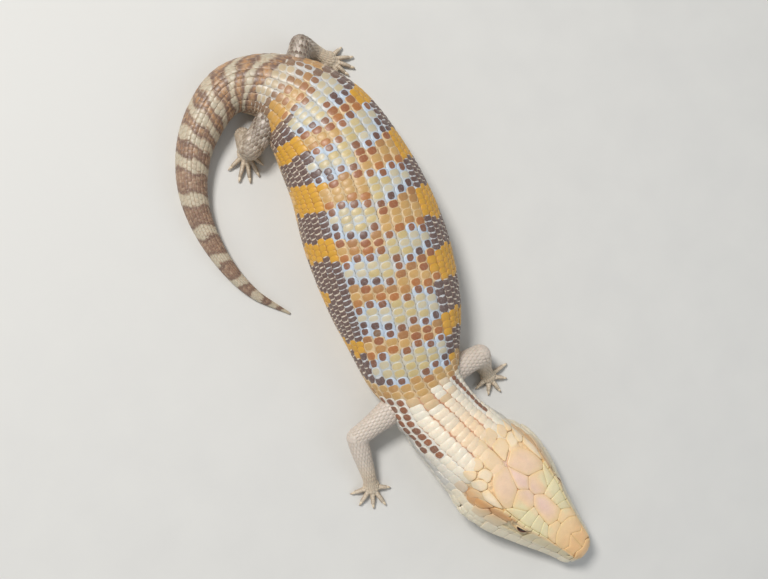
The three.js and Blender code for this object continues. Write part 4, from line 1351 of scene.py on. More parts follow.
# %% [markdown]
# ## Rows and columns
#
# Skink scales stand in straight columns from nape to tail tip, and neighbouring columns are shifted
# by half a scale, so every tile covers the joint of two others. The columns beside the spine are the
# widest. On the tail they narrow with the girth.

# %% Where the scales stand
COLUMN_WIDTHS = np.array([
    3.9, 3.9, 3.85, 3.7, 3.2, 2.8, 2.65, 2.6, 2.6, 2.65, 2.7, 2.8, 2.9, 3.0, *[3.1] * 10,
])
COLUMN_EDGES = np.concatenate([[0], np.cumsum(COLUMN_WIDTHS)])
LENGTH_PLACES = (5, 30, 44, 50, 58, 74, 82, 120, 170, 190, 221, 262, 294)
SCALE_LENGTHS = (2.0, 2.6, 2.8, 2.6, 2.15, 2.15, 2.4, 2.5, 2.45, 2.2, 1.8, 1.35, 0.8)
LATTICE_START = 6.0
COLUMN_STRIDE = 0.05       # mm between the places at which a column's scales are counted
FULL_GIRTH = 44.0          # half girth from which the tail's columns narrow


def scale_length(at):
    """How much of a scale of the back shows, in mm."""
    return np.interp(at, LENGTH_PLACES, SCALE_LENGTHS)


BACK_COLUMNS = 4           # columns each side of the spine before the finer scales of the flank
FLANK_LENGTH = 0.74        # how long a scale of the flank is against one of the back


def shorter(at, column):
    """How long the scales of a column are against those of the back."""
    on_flank = plateau(at, 80, 98, 162, 180) * (column >= BACK_COLUMNS)
    return 1 - (1 - FLANK_LENGTH) * on_flank


WIDE_COLUMNS = 2           # columns each side of the spine that are broader on the neck
NECK_SPREAD = {1: 1.05, -1: 1.38}   # by how much, on the left and on the right


def column_spread(at):
    """How wide the tail's columns are against those of the trunk."""
    return np.where(at > 150, np.minimum(1, half_girth(at) / FULL_GIRTH) ** 0.93, 1.0)


def lattice():
    """at, side, width and length of every scale of the columns."""
    places = np.arange(LATTICE_START, TAIL_END - 0.5, COLUMN_STRIDE)
    rows = []
    for sign in (1, -1):
        for k, width in enumerate(COLUMN_WIDTHS):
            pitch = scale_length(places[:-1]) * shorter(places[:-1], k)
            count = np.concatenate([[0], np.cumsum(COLUMN_STRIDE / pitch)])
            offset = 0.5 * ((k + (sign < 0)) % 2)
            at = np.interp(np.arange(0, count[-1]) + offset, count, places)
            spread = column_spread(at)
            extra = (NECK_SPREAD[sign] - 1) * (1 - ramp(66, 80, at))
            middle = COLUMN_EDGES[k] + width / 2
            shift = extra * (middle if k < WIDE_COLUMNS else COLUMN_EDGES[WIDE_COLUMNS])
            side = sign * (middle * spread + shift)
            wide = width * (spread + (extra if k < WIDE_COLUMNS else 0))
            keep = np.abs(side) < half_girth(at) + wide * 0.4
            rows.append(np.stack([at, side, wide, scale_length(at) * shorter(at, k)], -1)[keep])
    return np.concatenate(rows)


LATTICE = lattice()
print("scales in columns:", len(LATTICE))

# %% [markdown]
# ## Shields of the head
#
# Each shield is an outline through a few named points of the crown. The same outlines are raised on
# the solid head. Here the corners are rounded, the edge dips into a groove, and the surface swells a
# little, as the horn does over the bone.

# %% Named points and shields of the crown
CROWN = {
    "nose_middle": (3.6, 0), "nose_side": (4.6, 1.2), "nose_fork": (4.2, 1.95),
    "nose_edge": (3.4, 2.4), "nose_low": (3.3, 3.7), "nasal_middle": (10.2, 0),
    "nasal_side": (7.7, 1.2), "nasal_fork": (8.3, 1.95), "nasal_low": (8.7, 2.35),
    "nasal_foot": (7.8, 3.7),
    "frontonasal_middle": (15.2, 0), "frontonasal_back": (14.4, 0.9), "frontonasal_side": (11.8, 2.1),
    "prefrontal_middle": (17.0, 0), "prefrontal_back": (18.4, 0.8), "prefrontal_side": (15.4, 1.9),
    "frontal_flank": (20.6, 0.72), "frontal_waist": (23.6, 0.62), "frontal_back": (26.7, 0.48),
    "frontal_tip": (29.3, 0), "brow_first": (18.8, 1.9), "brow_second": (22.8, 1.9),
    "brow_third": (27.3, 1.92), "brow_last": (33.6, 1.84), "frontoparietal_side": (27.2, 0.96),
    "frontoparietal_back": (32.2, 1.48), "crown_knot": (34.8, 0.44), "kite_front": (31.7, 0),
    "kite_back": (42.4, 0), "parietal_side": (38.4, 1.66), "parietal_corner": (43.0, 1.22),
    "parietal_back": (44.2, 0.72),
}
PAIRED_SHIELDS = {
    "prefrontal": "frontonasal_middle frontonasal_back frontonasal_side prefrontal_side prefrontal_back "
                  "prefrontal_middle",
    "brow_1": "prefrontal_side brow_first frontal_flank prefrontal_back",
    "brow_2": "brow_first brow_second frontal_waist frontal_flank",
    "brow_3": "brow_second brow_third frontoparietal_side frontal_back frontal_waist",
    "brow_4": "brow_third brow_last frontoparietal_back frontoparietal_side",
    "frontoparietal": "frontal_tip frontal_back frontoparietal_side frontoparietal_back crown_knot "
                      "kite_front",
    "parietal": "frontoparietal_back brow_last parietal_side parietal_corner parietal_back kite_back "
                "crown_knot",
    "nasal": "nose_middle nose_side nose_fork nasal_fork nasal_side nasal_middle",
    "nostril": "nose_fork nose_edge nose_low nasal_foot nasal_low nasal_fork",
}
MIDDLE_SHIELDS = {
    "frontonasal": "nasal_middle nasal_side nasal_fork nasal_low frontonasal_side frontonasal_back "
                   "frontonasal_middle",
    "frontal": "prefrontal_middle prefrontal_back frontal_flank frontal_waist frontal_back frontal_tip",
    "interparietal": "kite_front crown_knot kite_back",
}
TEMPLES = {
    "temple_upper_1": ((33.9, 1.95), (36.2, 1.78), (39.0, 1.68), (42.4, 1.74), (43.1, 2.3), (40.4, 2.55),
                       (36.4, 2.25)),
    "temple_upper_2": ((42.6, 1.76), (43.7, 1.5), (45.4, 1.62), (46.8, 2.0), (47.4, 2.62), (45.6, 2.85),
                       (43.3, 2.35)),
    "temple_upper_3": ((44.5, 0.8), (43.4, 1.25), (43.9, 1.55), (45.6, 1.62), (47.2, 1.9), (48.1, 1.5),
                       (47.5, 1.05)),
    "nuchal_1": ((43.2, 0.03), (44.6, 0.5), (45.2, 0.85), (47.6, 1.0), (49.6, 0.8), (50.0, 0.03)),
    "nuchal_2": ((47.7, 1.05), (48.2, 1.55), (50.4, 1.8), (52.2, 1.45), (51.4, 0.95), (49.8, 0.84)),
    "nuchal_3": ((47.3, 2.0), (48.3, 1.6), (50.3, 1.85), (51.4, 2.4), (49.8, 2.7), (47.6, 2.65)),
    "nuchal_4": ((50.2, 0.03), (49.9, 0.8), (51.4, 0.92), (54.0, 0.84), (54.2, 0.03)),
    "temple_rust_1": ((28.6, 2.36), (33.5, 2.02), (36.0, 2.3), (37.0, 2.82), (34.6, 3.0), (29.4, 2.9)),
    "temple_rust_2": ((36.4, 2.32), (40.2, 2.62), (42.4, 3.12), (41.4, 3.5), (38.4, 3.35), (37.2, 2.84)),
    "temple_tan": ((40.8, 2.62), (43.2, 2.42), (45.6, 2.95), (45.9, 3.5), (43.6, 3.55), (42.6, 3.1)),
    "temple_low_1": ((28.6, 2.95), (34.4, 3.08), (35.4, 3.55), (35.0, 3.95), (29.4, 3.9)),
    "temple_low_2": ((34.9, 3.1), (37.0, 2.95), (38.4, 3.42), (40.6, 3.56), (40.0, 4.05), (35.6, 4.0)),
}
UPPER_LIPS = (1.9, 5.6, 9.0, 12.4, 15.9, 19.7, 23.7, 27.8, 32.6)
LOWER_LIPS = (2.6, 6.9, 11.2, 15.6, 20.2, 24.8, 29.2, 33.4)
LIP_TOP = 3.95
LIP_GAP = 0.045            # steps from the mouth line to the lip plates
CHIN_EDGE = 6.35


print("points named on the crown:", len(CROWN), "plates of a temple:", len(TEMPLES))

# %% [markdown]
# The brow rims, the plates under the eye, the lips and the chin are rows of alike plates, so loops make
# their outlines. One side of the head is worked out, and the other is its mirror image.

# %% Outlines of all plates
def mirrored(half):
    """The whole outline of a shield that lies on the middle line of the crown."""
    return list(half) + [(at, -step) for at, step in reversed(half) if step > 0]


def four_corners(front, back, top, foot):
    """A plate from its front and back edge at the top, and the same at the foot."""
    return [(front[0], top), (back[0], top), (back[1], foot), (front[1], foot)]


def side_plates():
    """The plates of one side of the head, with positive steps."""
    nose_fold, lore, brow_foot = (11.9, 2.15), (12.9, 2.9), (17.6, 3.2)
    plates = [(name, [CROWN[c] for c in corners.split()]) for name, corners in PAIRED_SHIELDS.items()]
    plates += TEMPLES.items()
    plates += [
        ("loreal_1", [(8.7, 2.35), nose_fold, lore, (12.2, LIP_TOP), (7.9, 3.7)]),
        ("loreal_2", [nose_fold, (15.4, 1.95), (17.0, 2.3), brow_foot, (16.8, LIP_TOP), (12.2, LIP_TOP),
                      lore]),
        ("preocular", [(17.0, 2.25), (20.2, 2.25), (20.6, 3.0), (20.9, LIP_TOP - 0.1), (16.8, LIP_TOP),
                       brow_foot]),
    ]
    brows = np.linspace(15.6, 33.4, 7)
    plates += [("brow_rim", four_corners((a, a + 0.2), (b, b - 0.5), 1.93, 2.3))
               for a, b in zip(brows, brows[1:])]
    plates += [("subocular", four_corners((a, a + 0.2), (b, b + 0.3), 3.52, LIP_TOP))
               for a, b in ((20.9, 23.4), (23.4, 26.1), (26.1, 29.0))]
    lobule = ((39.9, -0.2), (42.2, -0.17), (43.0, 0), (42.2, 0.17), (39.9, 0.2))
    plates += [("lobule", [(at, middle + aside) for at, aside in lobule])
               for middle in (EAR["step"] - 0.38, EAR["step"], EAR["step"] + 0.38)]
    foot, head = MOUTH_LINE - LIP_GAP, MOUTH_LINE + LIP_GAP
    for a, b in zip(UPPER_LIPS, UPPER_LIPS[1:]):
        top = LIP_TOP - 0.25 if a < 8 else LIP_TOP
        plates.append(("upper_lip", [(a + 0.4, top), (b + 0.4, LIP_TOP), (b, foot), (a, foot)]))
    plates += [("lower_lip", four_corners((a, a + 0.5), (b, b + 0.5), head, CHIN_EDGE))
               for a, b in zip(LOWER_LIPS, LOWER_LIPS[1:])]
    plates += [("chin", four_corners((a + 0.5, a), (b + 0.5, b), CHIN_EDGE, STEPS - inner))
               for a, b, inner in ((3.4, 8.4, 0.02), (8.4, 14.2, 0.25), (14.2, 20.6, 0.25))]
    return plates


def head_outlines():
    """What every head plate is called, and its outline as a list of (at, step)."""
    plates = [(name, mirrored([CROWN[c] for c in corners.split()]))
              for name, corners in MIDDLE_SHIELDS.items()]
    rostral = [(3.6, 0), (4.5, 1.15), (3.3, 2.2), (3.1, 3.7), (1.8, 4.3)]
    rostral += [(1.6, MOUTH_LINE - LIP_GAP), (0.3, 5.0)]
    mental = [(0.3, 5.6), (1.9, MOUTH_LINE + LIP_GAP), (2.5, CHIN_EDGE), (3.4, 7.0), (3.8, STEPS)]
    plates.append(("rostral", mirrored(rostral)))
    plates.append(("mental", mental + [(at, 2 * STEPS - step) for at, step in reversed(mental[:-1])]))
    for sign in (1, -1):
        for name, outline in side_plates():
            plates.append((name, [(at, sign * step) for at, step in outline]))
    return plates


HEAD_PLATES = head_outlines()
print("head plates:", len(HEAD_PLATES))

# %% [markdown]
# A plate's corners are cut a little, which rounds them, and its outline is spread into even points.
# The rings inside it stand at fixed distances from the rim, so a wide plate has the same rounded edge
# as a small one, and then run to its middle, or to the rim of the nostril where it has one.

# %% The plate maker
PLATE_POINTS = 40
RIM_INSETS = np.array([0.0, 0.0, 0.07, 0.2, 0.5])
RIM_FLOORS = np.array([1.0, 1.0, 0.94, 0.86, 0.72])
RIM_HEIGHTS = np.array([-0.8, -0.15, -0.07, -0.02, 0.03])
INNER_SHARES = np.array([0.5, 0.2])
STEP_LENGTH = 3.4          # mm that one step round the head is counted as
HOLE_SINK = 0.8            # mm that a plate's edge goes down into the nostril


def round_corners(outline, cut):
    """Cuts each corner of an outline off."""
    ahead = np.roll(outline, -1, axis=0)
    pair = np.stack([outline * (1 - cut) + ahead * cut, outline * cut + ahead * (1 - cut)], 1)
    return pair.reshape(-1, 2)


def even_outline(outline, rounding):
    """The outline with round corners and evenly spread points."""
    shape = np.asarray(outline, float)
    for cut in (rounding, 0.22):
        shape = round_corners(shape, cut)
    closed = np.vstack([shape, shape[:1]])
    spots = head_point(closed[:, 0], closed[:, 1])
    run = np.concatenate([[0], np.cumsum(np.linalg.norm(np.diff(spots, axis=0), axis=1))])
    marks = np.linspace(0, run[-1], PLATE_POINTS, endpoint=False)
    return np.stack([np.interp(marks, run, closed[:, n]) for n in (0, 1)], -1)


def turn_round(places, centre):
    """The direction of places on the head as seen from a centre."""
    return np.arctan2((places[:, 1] - centre[1]) * STEP_LENGTH, places[:, 0] - centre[0])


def plate_points(outline, lift, rounding, hole=None):
    """Points of one plate, their addresses on the head, and how far out each lies on the plate."""
    edge = even_outline(outline, rounding)
    middle = edge.mean(0)
    reach = np.linalg.norm(head_point(edge[:, 0], edge[:, 1]) - head_point(*middle), axis=1)
    dome = min(0.03 * reach.mean(), 0.1)
    shares = [*np.maximum(1 - RIM_INSETS[:, None] / reach[None], RIM_FLOORS[:, None])]
    shares += [np.full(PLATE_POINTS, share) for share in INNER_SHARES]
    heights = np.concatenate([RIM_HEIGHTS, dome * np.array([0.8, 1.0])]) + lift
    inner = np.repeat(middle[None], PLATE_POINTS, axis=0)
    if hole is not None:
        turn = turn_round(edge, hole)
        inner = np.stack([hole[0] + hole[2] * np.cos(turn), hole[1] + hole[3] * np.sin(turn)], -1)
        shares += [np.zeros(PLATE_POINTS)] * 2
        heights = np.concatenate([heights, [lift, -HOLE_SINK]])
    shares = np.array(shares)
    places = inner[None] + (edge - inner)[None] * shares[..., None]
    points = head_point(places[..., 0], places[..., 1], heights[:, None])
    turn = turn_round(edge, middle)
    spot = np.stack([shares * np.cos(turn)[None], shares * np.sin(turn)[None]], -1)
    return points, places, spot


def plate_faces(rings, open_middle):
    """Faces between the rings of a plate, and those round its middle if it has one."""
    hub = hub_faces(rings, PLATE_POINTS)
    return ring_faces(rings, PLATE_POINTS), hub[:0] if open_middle else hub


print("rings of a plate:", len(RIM_INSETS) + len(INNER_SHARES), "of", PLATE_POINTS, "points")

# %% [markdown]
# The shields are horn over bone, thicker than the scales of the body, and each is a little lighter or
# darker than its neighbour. Their ground tone comes from the head's paint, point by point, so a wash of
# colour runs on over the seams as it does on the animal.

# %% The shields as one piece
SHIELD_LIFT = 0.22         # mm over the body's surface
SHIELD_GROOVE_SHADE = 0.12         # how far a shield's rim takes on the colour of the painted groove shade
SOFT_CORNERS = ("nuchal", "temple_upper", "temple_rust", "temple_tan")
MAP_LENGTH, MAP_STEPS = 52, 2 * STEPS + 8   # mm and steps that the head's map is long and wide
LIFTS = {
    "brow_rim": 0.32, "upper_lip": 0.16, "lower_lip": 0.16, "chin": 0.12, "mental": 0.14,
    "subocular": 0.12,
}
PLATE_TINTS = {name: (linear(colour), share) for name, (colour, share) in {
    "temple_upper": ((240, 224, 198), 0.7), "temple_rust": ((218, 168, 112), 0.5),
    "temple_tan": ((224, 188, 144), 0.6), "temple_low": ((220, 194, 160), 0.5),
    "nuchal": ((240, 212, 176), 0.5), "parietal": ((236, 206, 180), 0.5),
}.items()}
RIM_TINT = linear((244, 212, 152))
BROW_RIM_TINT = linear((240, 230, 182))


def kind_of(name):
    """A plate's name without its number."""
    return name.rstrip("_0123456789")


def plate_tones(name, places, luck):
    """Heart and rim of a plate at each of its points."""
    ground = head_paint(places[:, 0], places[:, 1])
    if kind_of(name) in PLATE_TINTS:
        ground = blend(ground, *PLATE_TINTS[kind_of(name)])
    rim = BROW_RIM_TINT if name.startswith("brow") else RIM_TINT
    crown = 0.5 * (1 - ramp(2.0, 2.6, np.abs(places[:, 1])))
    return ground * (1 + 0.03 * luck), blend(ground, rim, crown)


def head_shields():
    """All plates of the head as one object."""
    forms, bake = [], []
    layers = {"heart": [], "rim": [], "spot": [], "seam": []}
    for name, outline in HEAD_PLATES:
        side = np.sign(np.mean([step for _, step in outline]))
        lift = LIFTS.get(kind_of(name), SHIELD_LIFT)
        hole = None
        if name == "nostril":
            hole = (NOSTRIL["at"], side * NOSTRIL["step"], NOSTRIL["radius"], NOSTRIL["radius"] * 0.4)
        rounding = 0.16 if kind_of(name) in SOFT_CORNERS else 0.07
        solid, places, spot = plate_points(outline, lift, rounding, hole)
        faces, hub = plate_faces(len(solid), hole is not None)
        solid, places, spot = solid.reshape(-1, 3), places.reshape(-1, 2), spot.reshape(-1, 2)
        if hole is None:
            centre = places[-PLATE_POINTS:].mean(0)
            solid = np.vstack([solid, head_point(*centre, lift + 0.1)])
            places, spot = np.vstack([places, centre]), np.vstack([spot, (0, 0)])
        luck = rng.uniform(-1, 1)
        count = len(solid)
        heart, rim = plate_tones(name, places, luck)
        spot = np.column_stack([spot, np.full(count, 0.4 * luck)])
        # The two outer rings of each plate carry painted shade of the groove round it.
        seam = np.where(np.arange(count) < 2 * PLATE_POINTS, SHIELD_GROOVE_SHADE, 0.0)
        for layer, values in zip(layers.values(), (heart, rim, spot, seam)):
            layer.append(values)
        forms.append((solid, [faces, hub]))
        bake.append(np.column_stack([places[:, 0] / MAP_LENGTH, (places[:, 1] + STEPS) / MAP_STEPS]))
    layers = {name: np.concatenate(rows) for name, rows in layers.items()}
    return make_object("head_shields", *merged(forms), shield_horn, np.concatenate(bake), **layers)


hand_over(head_shields(), ["head"])

# %% [markdown]
# ## Laying the columns
#
# A scale of the columns stays away from the shields, the ears, the eyes and the inside of a leg. The
# rest are laid in lengths of the body, so that each piece stays light and has its own bake map.

# %% Lengths of the body, and where no scale goes
LENGTHS = {
    # piece: from, to, slot, nodes
    "scales_cheeks": (5, 48, "skin_head", ["head"]),
    "scales_neck": (48, 67, "skin_neck", ["neck"]),
    "scales_chest": (67, 94, "skin_trunk", ["torso_front"]),
    "scales_ribs": (94, 120, "skin_trunk", ["torso_front"]),
    "scales_flanks": (120, 146, "skin_trunk", ["torso_rear"]),
    "scales_loins": (146, 170, "skin_trunk", ["torso_rear"]),
    "scales_hips": (170, 190, "skin_trunk", ["torso_rear"]),
    "scales_tail_base": (190, 216, "skin_tail", ["tail_base"]),
    "scales_tail_middle": (216, 246, "skin_tail", ["tail_middle"]),
    "scales_tail_end": (246, 294, "skin_tail", ["tail_end"]),
}
HEAD_SCALES_END = 48       # mm from the snout; up to here a scale can meet a shield
BARE = (
    # no column scales ahead of this place, from this step to that one
    (30, 0, CHIN_EDGE + 0.1), (MOUTH_CORNER + 0.2, LIP_TOP - 0.05, CHIN_EDGE + 0.1),
    (21.3, CHIN_EDGE, STEPS + 1), (43.5, 0, 2.3), (36, 0, 4.0),
)


def inside(places, outline):
    """Which places lie inside an outline."""
    x, y = places[:, 0], places[:, 1]
    hit = np.zeros(len(places), bool)
    for (x1, y1), (x2, y2) in zip(outline, outline[1:] + outline[:1]):
        crosses = (y1 > y) != (y2 > y)
        slope = (x2 - x1) / (y2 - y1 if y2 != y1 else 1e-9)
        hit ^= crosses & (x < x1 + (y - y1) * slope)
    return hit


def free_of_head(at, step):
    """Scales that aren't under a shield, an eye or an ear."""
    reach = np.abs(step)
    free = ear_distance(at, step) > 1.1
    for end, inner, outer in BARE:
        free &= ~((at < end) & (reach >= inner) & (reach < outer))
    for _, outline in HEAD_PLATES:
        free &= ~inside(np.column_stack([at, step]), outline)
    return free


def free_of_legs(points):
    """Scales that aren't inside a thigh or an upper arm."""
    free = np.ones(len(points), bool)
    for leg in LEGS.values():
        free &= segment_distance(points, leg["root"], leg["knee"]) > leg["radii"][0] * 0.8
    return free


on_body = free_of_legs(body_point(LATTICE[:, 0], step_at(LATTICE[:, 0], LATTICE[:, 1])))
print("scales of the lattice that lie inside a leg:", int((~on_body).sum()))

# %% [markdown]
# Real scales are never quite alike, so luck shifts each one a little, tilts it and stretches it. The
# pattern is then laid on the body with its addresses, so every scale follows the curve under it. It
# could be done with instances of one scale, but those would all have one shape and one colour.

# %% Lay the columns
TILE_LENGTH = 1.62         # a scale's whole length against the part that shows
TILE_WIDTH = 1.06
SCALE_TILT = 0.3           # mm that a scale's free edge stands up, before its place is counted in
SCALE_DOME = 0.34          # mm that the broadest scale swells
SCALE_SEAT = 0.12          # mm that a scale's underside lies over the skin
SKIRT_DEPTH = 0.42         # mm that the skirt goes down from the rim
CELL = 0.48                # half a scale's patch on the bake map, against its width and length
FLOOR_SKIM = 0.03          # lowest height of any scale


def lay_scales(name, rows, pattern, nodes):
    """Lays rows of the lattice on the body as one piece."""
    at, side, wide, long = rows.T
    count, size = len(rows), len(pattern["share"])
    at = at + rng.normal(0, 0.035, count) * long
    side = side + rng.normal(0, 0.02, count) * wide
    jitter = rng.uniform(-1, 1, count)
    steeper = np.interp(at, (30, 60, 120, 220, 294), (1.1, 1.5, 1.5, 0.85, 0.35))
    tilt = (SCALE_TILT + 0.05 * jitter) * steeper
    dome = SCALE_DOME * wide / COLUMN_WIDTHS[0] * np.interp(at, (50, 58, 72, 80), (1, 1.5, 1.5, 1))
    sunk = (COAT - SCALE_SEAT) * np.interp(at, (250, 294), (1, 0.5))
    height = scale_heights(pattern, tilt, dome, SKIRT_DEPTH) - sunk[:, None]
    half_long = long * TILE_LENGTH / 2 * (1 + 0.03 * jitter)
    half_wide = wide * TILE_WIDTH / 2 * (1 + 0.02 * jitter)
    endwise = pattern["endwise"][None, :] * half_long[:, None]
    across = pattern["across"][None, :] * half_wide[:, None]
    place, aside = at[:, None] + endwise, side[:, None] + across
    points = head_point(place, step_at(place, aside), height)
    skim = FLOOR_SKIM + 0.05 * (1 - pattern["skirt"])[None, :]
    points[..., 2] = np.maximum(points[..., 2], skim)

    # Tones: the body's rule, the head's before the neck, and the tail's own for each point
    heart, rim, fit = body_paint(at, side, jitter)
    ground = head_paint(at, step_at(at, side))
    on_head = 1 - ramp(44, 52, at)
    heart = blend(heart, ground, on_head)
    rim = blend(rim, blend(ground, HEAD_TONES["lip"], 0.35), on_head)
    heart, rim = np.repeat(heart, size, axis=0), np.repeat(rim, size, axis=0)
    on_tail = np.repeat(at + 0.6 * jitter + 0.5 * side > TAIL_PAINT_START, size)
    tail_heart, tail_rim, _ = tail_paint(place.ravel(), aside.ravel(), np.repeat(jitter, size))
    heart[on_tail], rim[on_tail] = tail_heart[on_tail], tail_rim[on_tail]

    window = (endwise - (half_long - long / 2)[:, None]) / (long / 2)[:, None]
    cell_at = at[:, None] + pattern["endwise"][None] * long[:, None] * CELL
    cell_side = side[:, None] + pattern["across"][None] * wide[:, None] * CELL
    first, last, girth = at.min() - 2, at.max() + 2, half_girth(at).max() + 3
    bake = np.stack([(cell_at - first) / (last - first), (cell_side + girth) / (2 * girth)], -1)
    hand_over(scale_object(name, pattern, points, heart, rim, window, fit, jitter, bake), nodes)


for piece, (first, last, slot, nodes) in LENGTHS.items():
    rows = LATTICE[(LATTICE[:, 0] >= first) & (LATTICE[:, 0] < last)]
    if first < HEAD_SCALES_END:
        rows = rows[free_of_head(rows[:, 0], step_at(rows[:, 0], rows[:, 1]))]
    rows = rows[free_of_legs(body_point(rows[:, 0], step_at(rows[:, 0], rows[:, 1])))]
    lay_scales(piece, rows, FINE if last < TAIL_END else PLAIN, nodes)

# %% [markdown]
# ## Scales of the legs
#
# A leg has no straight columns. Its scales are small and lie in rings that point down to the foot. To
# place them, rays are sent out from the bone to the skin, and where a ray lands a scale is laid flat
# against the surface, with its tip towards the foot. On the point of a knee the rings part, so more
# rays go out from the joint itself, and a scale is laid wherever none stands near. A seed is one such
# place: the spot, the directions outward and towards the foot, half its width and length, and its
# patch of the bake map, which the leg, the knee, the palm and the toes share.

# %% Rays, and the scales round the bones
LEG_PITCH = 1.35           # mm from one ring of scales to the next
LEG_RING = 17              # scales in a ring
LOWEST_SEED = 0.6          # mm over the floor
LEG_LONG = LEG_PITCH * 0.8
LEG_CELL = 0.45            # half a seed's patch on the map, against its share of the leg
LEG_TILE = (1.0, 1.0, 0.0, 0.0, 0.2)   # the heart's shape, as in the columns
KNEE_RINGS = ((0.0, 1), (0.36, 6), (0.72, 11), (1.08, 15))   # angle from the knee's point, and scales
PALM_RINGS = ((0.9, 6), (1.8, 10), (2.6, 13))   # mm from the palm's middle, and scales
LEG_MAP = 0.6              # share of the map's width for the leg
KNEE_MAP = (0.7, 0.15, 0.02)   # middle of the knee on the map, and the map's size of one mm
PALM_MAP = (0.7, 0.5, 0.028)   # the same for the palm
TOE_MAP = 0.8              # where the toes' strips begin on the map
tree = BVHTree.FromObject(skin, bpy.context.evaluated_depsgraph_get())


def shoot(start, way, reach):
    """Where a ray from a point in mm meets the skin, and the direction out of the skin there."""
    hit, normal, _, _ = tree.ray_cast(Vector(start) * MM, Vector(way), reach * MM)
    return (None, None) if hit is None else (np.array(hit) / MM, np.array(normal))


def bone_frame(forward):
    """The directions aside and up from a bone that runs forward."""
    side = unit(np.cross(forward, UP))
    return side, np.cross(side, forward)


def leg_seeds(leg):
    """The scales round the bones of one leg."""
    joints = [leg[joint] for joint in JOINTS]
    radii = (*leg["radii"], leg["palm"])
    whole = sum(np.linalg.norm(b - a) for a, b in zip(joints, joints[1:]))
    seeds, ring, walked = [], 0, 0.0
    for start, end, r0, r1 in zip(joints, joints[1:], radii, radii[1:]):
        length = np.linalg.norm(end - start)
        forward = (end - start) / length
        side, up = bone_frame(forward)
        for distance in np.arange(LEG_PITCH / 2, length, LEG_PITCH):
            ring += 1
            radius = r0 + (r1 - r0) * distance / length
            centre = start + forward * distance
            for k in range(LEG_RING):
                turn = 2 * math.pi * (k + 0.5 * (ring % 2)) / LEG_RING
                way = np.cos(turn) * side + np.sin(turn) * up
                spot, out = shoot(centre, way, radius * 1.35)
                if spot is None or spot[2] < LOWEST_SEED or out @ way < 0.3:
                    continue
                half_wide = math.pi * np.linalg.norm(spot - centre) / LEG_RING
                patch = (LEG_MAP * (walked + distance) / whole, (turn / 2 / math.pi) % 1.0,
                         LEG_MAP * LEG_PITCH / whole * LEG_CELL, LEG_CELL / LEG_RING)
                seeds.append((spot, out, forward, half_wide, LEG_LONG, patch))
        walked += length
    return seeds


BONE_SEEDS = {name: leg_seeds(leg) for name, leg in LEGS.items()}
print("scales round the bones:", {name: len(seeds) for name, seeds in BONE_SEEDS.items()})

# %% [markdown]
# The point of the knee, the back of the foot and the toes each have their own small scales: a cap, a
# rosette that points to the toes, and a row of broad scutes. Each gets its own rays.

# %% The scales of knees, palms and toes
def knee_seeds(leg, others):
    """The scales over the point of the knee or elbow, where the rings of the bones leave a gap."""
    root, knee, ankle = leg["root"], leg["knee"], leg["ankle"]
    outward = unit(knee - (root + ankle) / 2)
    forward = unit(ankle - root)
    side = unit(np.cross(outward, forward))
    over = np.cross(side, outward)
    taken = np.array([seed[0] for seed in others])
    radius = leg["radii"][1]
    half_cell = LEG_PITCH * LEG_CELL * KNEE_MAP[2]
    seeds = []
    for lean, count in KNEE_RINGS:
        arc = lean * radius * KNEE_MAP[2]
        for turn in np.arange(count) / count * 2 * math.pi:
            cos, sin = math.cos(turn), math.sin(turn)
            way = math.cos(lean) * outward + math.sin(lean) * cos * side + math.sin(lean) * sin * over
            spot, out = shoot(knee, way, radius * 1.6)
            if spot is None or spot[2] < LOWEST_SEED:
                continue
            if np.linalg.norm(taken - spot, axis=1).min() < LEG_PITCH * 0.7:
                continue
            patch = (KNEE_MAP[0] + arc * cos, KNEE_MAP[1] + arc * sin, half_cell, half_cell)
            seeds.append((spot, out, forward, LEG_PITCH * 0.54, LEG_LONG, patch))
    return seeds


def palm_seeds(leg):
    """Small scales on the back of the foot, pointing away from the ankle."""
    away = unit((leg["foot"] - leg["ankle"]) * (1, 1, 0))
    beside = np.cross(away, UP)
    seeds = []
    for radius, count in PALM_RINGS:
        for k in range(count):
            turn = 2 * math.pi * (k + 0.5) / count
            way = np.array([math.cos(turn), math.sin(turn), 0])
            spot, out = shoot(leg["foot"] + way * radius + (0, 0, 6), (0, 0, -1), 7)
            if spot is None or out[2] < 0.35 or spot[2] > 4 or way @ away < -0.75:
                continue
            half_cell = 0.4 * PALM_MAP[2]
            patch = (PALM_MAP[0] + way @ away * radius * PALM_MAP[2],
                     PALM_MAP[1] + way @ beside * radius * PALM_MAP[2], half_cell, half_cell)
            seeds.append((spot, out, unit(way * 0.5 + away), 0.5, 0.62, patch))
    return seeds


def toe_seeds(leg):
    """Broad scutes that roof each toe, one behind another."""
    seeds = []
    for number, tip in enumerate(leg["tips"]):
        path = curve_through(toe_path(leg, tip)[:3], SCUTES * 4 + 1)
        length = np.linalg.norm(np.diff(path, axis=0), axis=1).sum()
        for k in range(1, SCUTES):
            i = k * 4 + 1
            forward = unit(path[i + 1] - path[i - 1])
            radius = toe_radius(k / SCUTES)
            _, out = bone_frame(forward)
            patch = (TOE_MAP + (1 - TOE_MAP) * (k + 0.5) / (SCUTES + 1),
                     (number + 0.5) / len(leg["tips"]), (1 - TOE_MAP) / (SCUTES + 1) * LEG_CELL, 0.07)
            spot, half_long = path[i] + out * radius, length / SCUTES * 0.66
            seeds.append((spot, out, forward, radius * 0.95, half_long, patch))
    return seeds


print("scales on the toes of one leg:", len(toe_seeds(LEGS["foreleg_right"])))

# %% [markdown]
# A scale of a leg is bent to the skin under it: each of its points drops to the nearest point of the
# skin and then rises by the pattern's height.

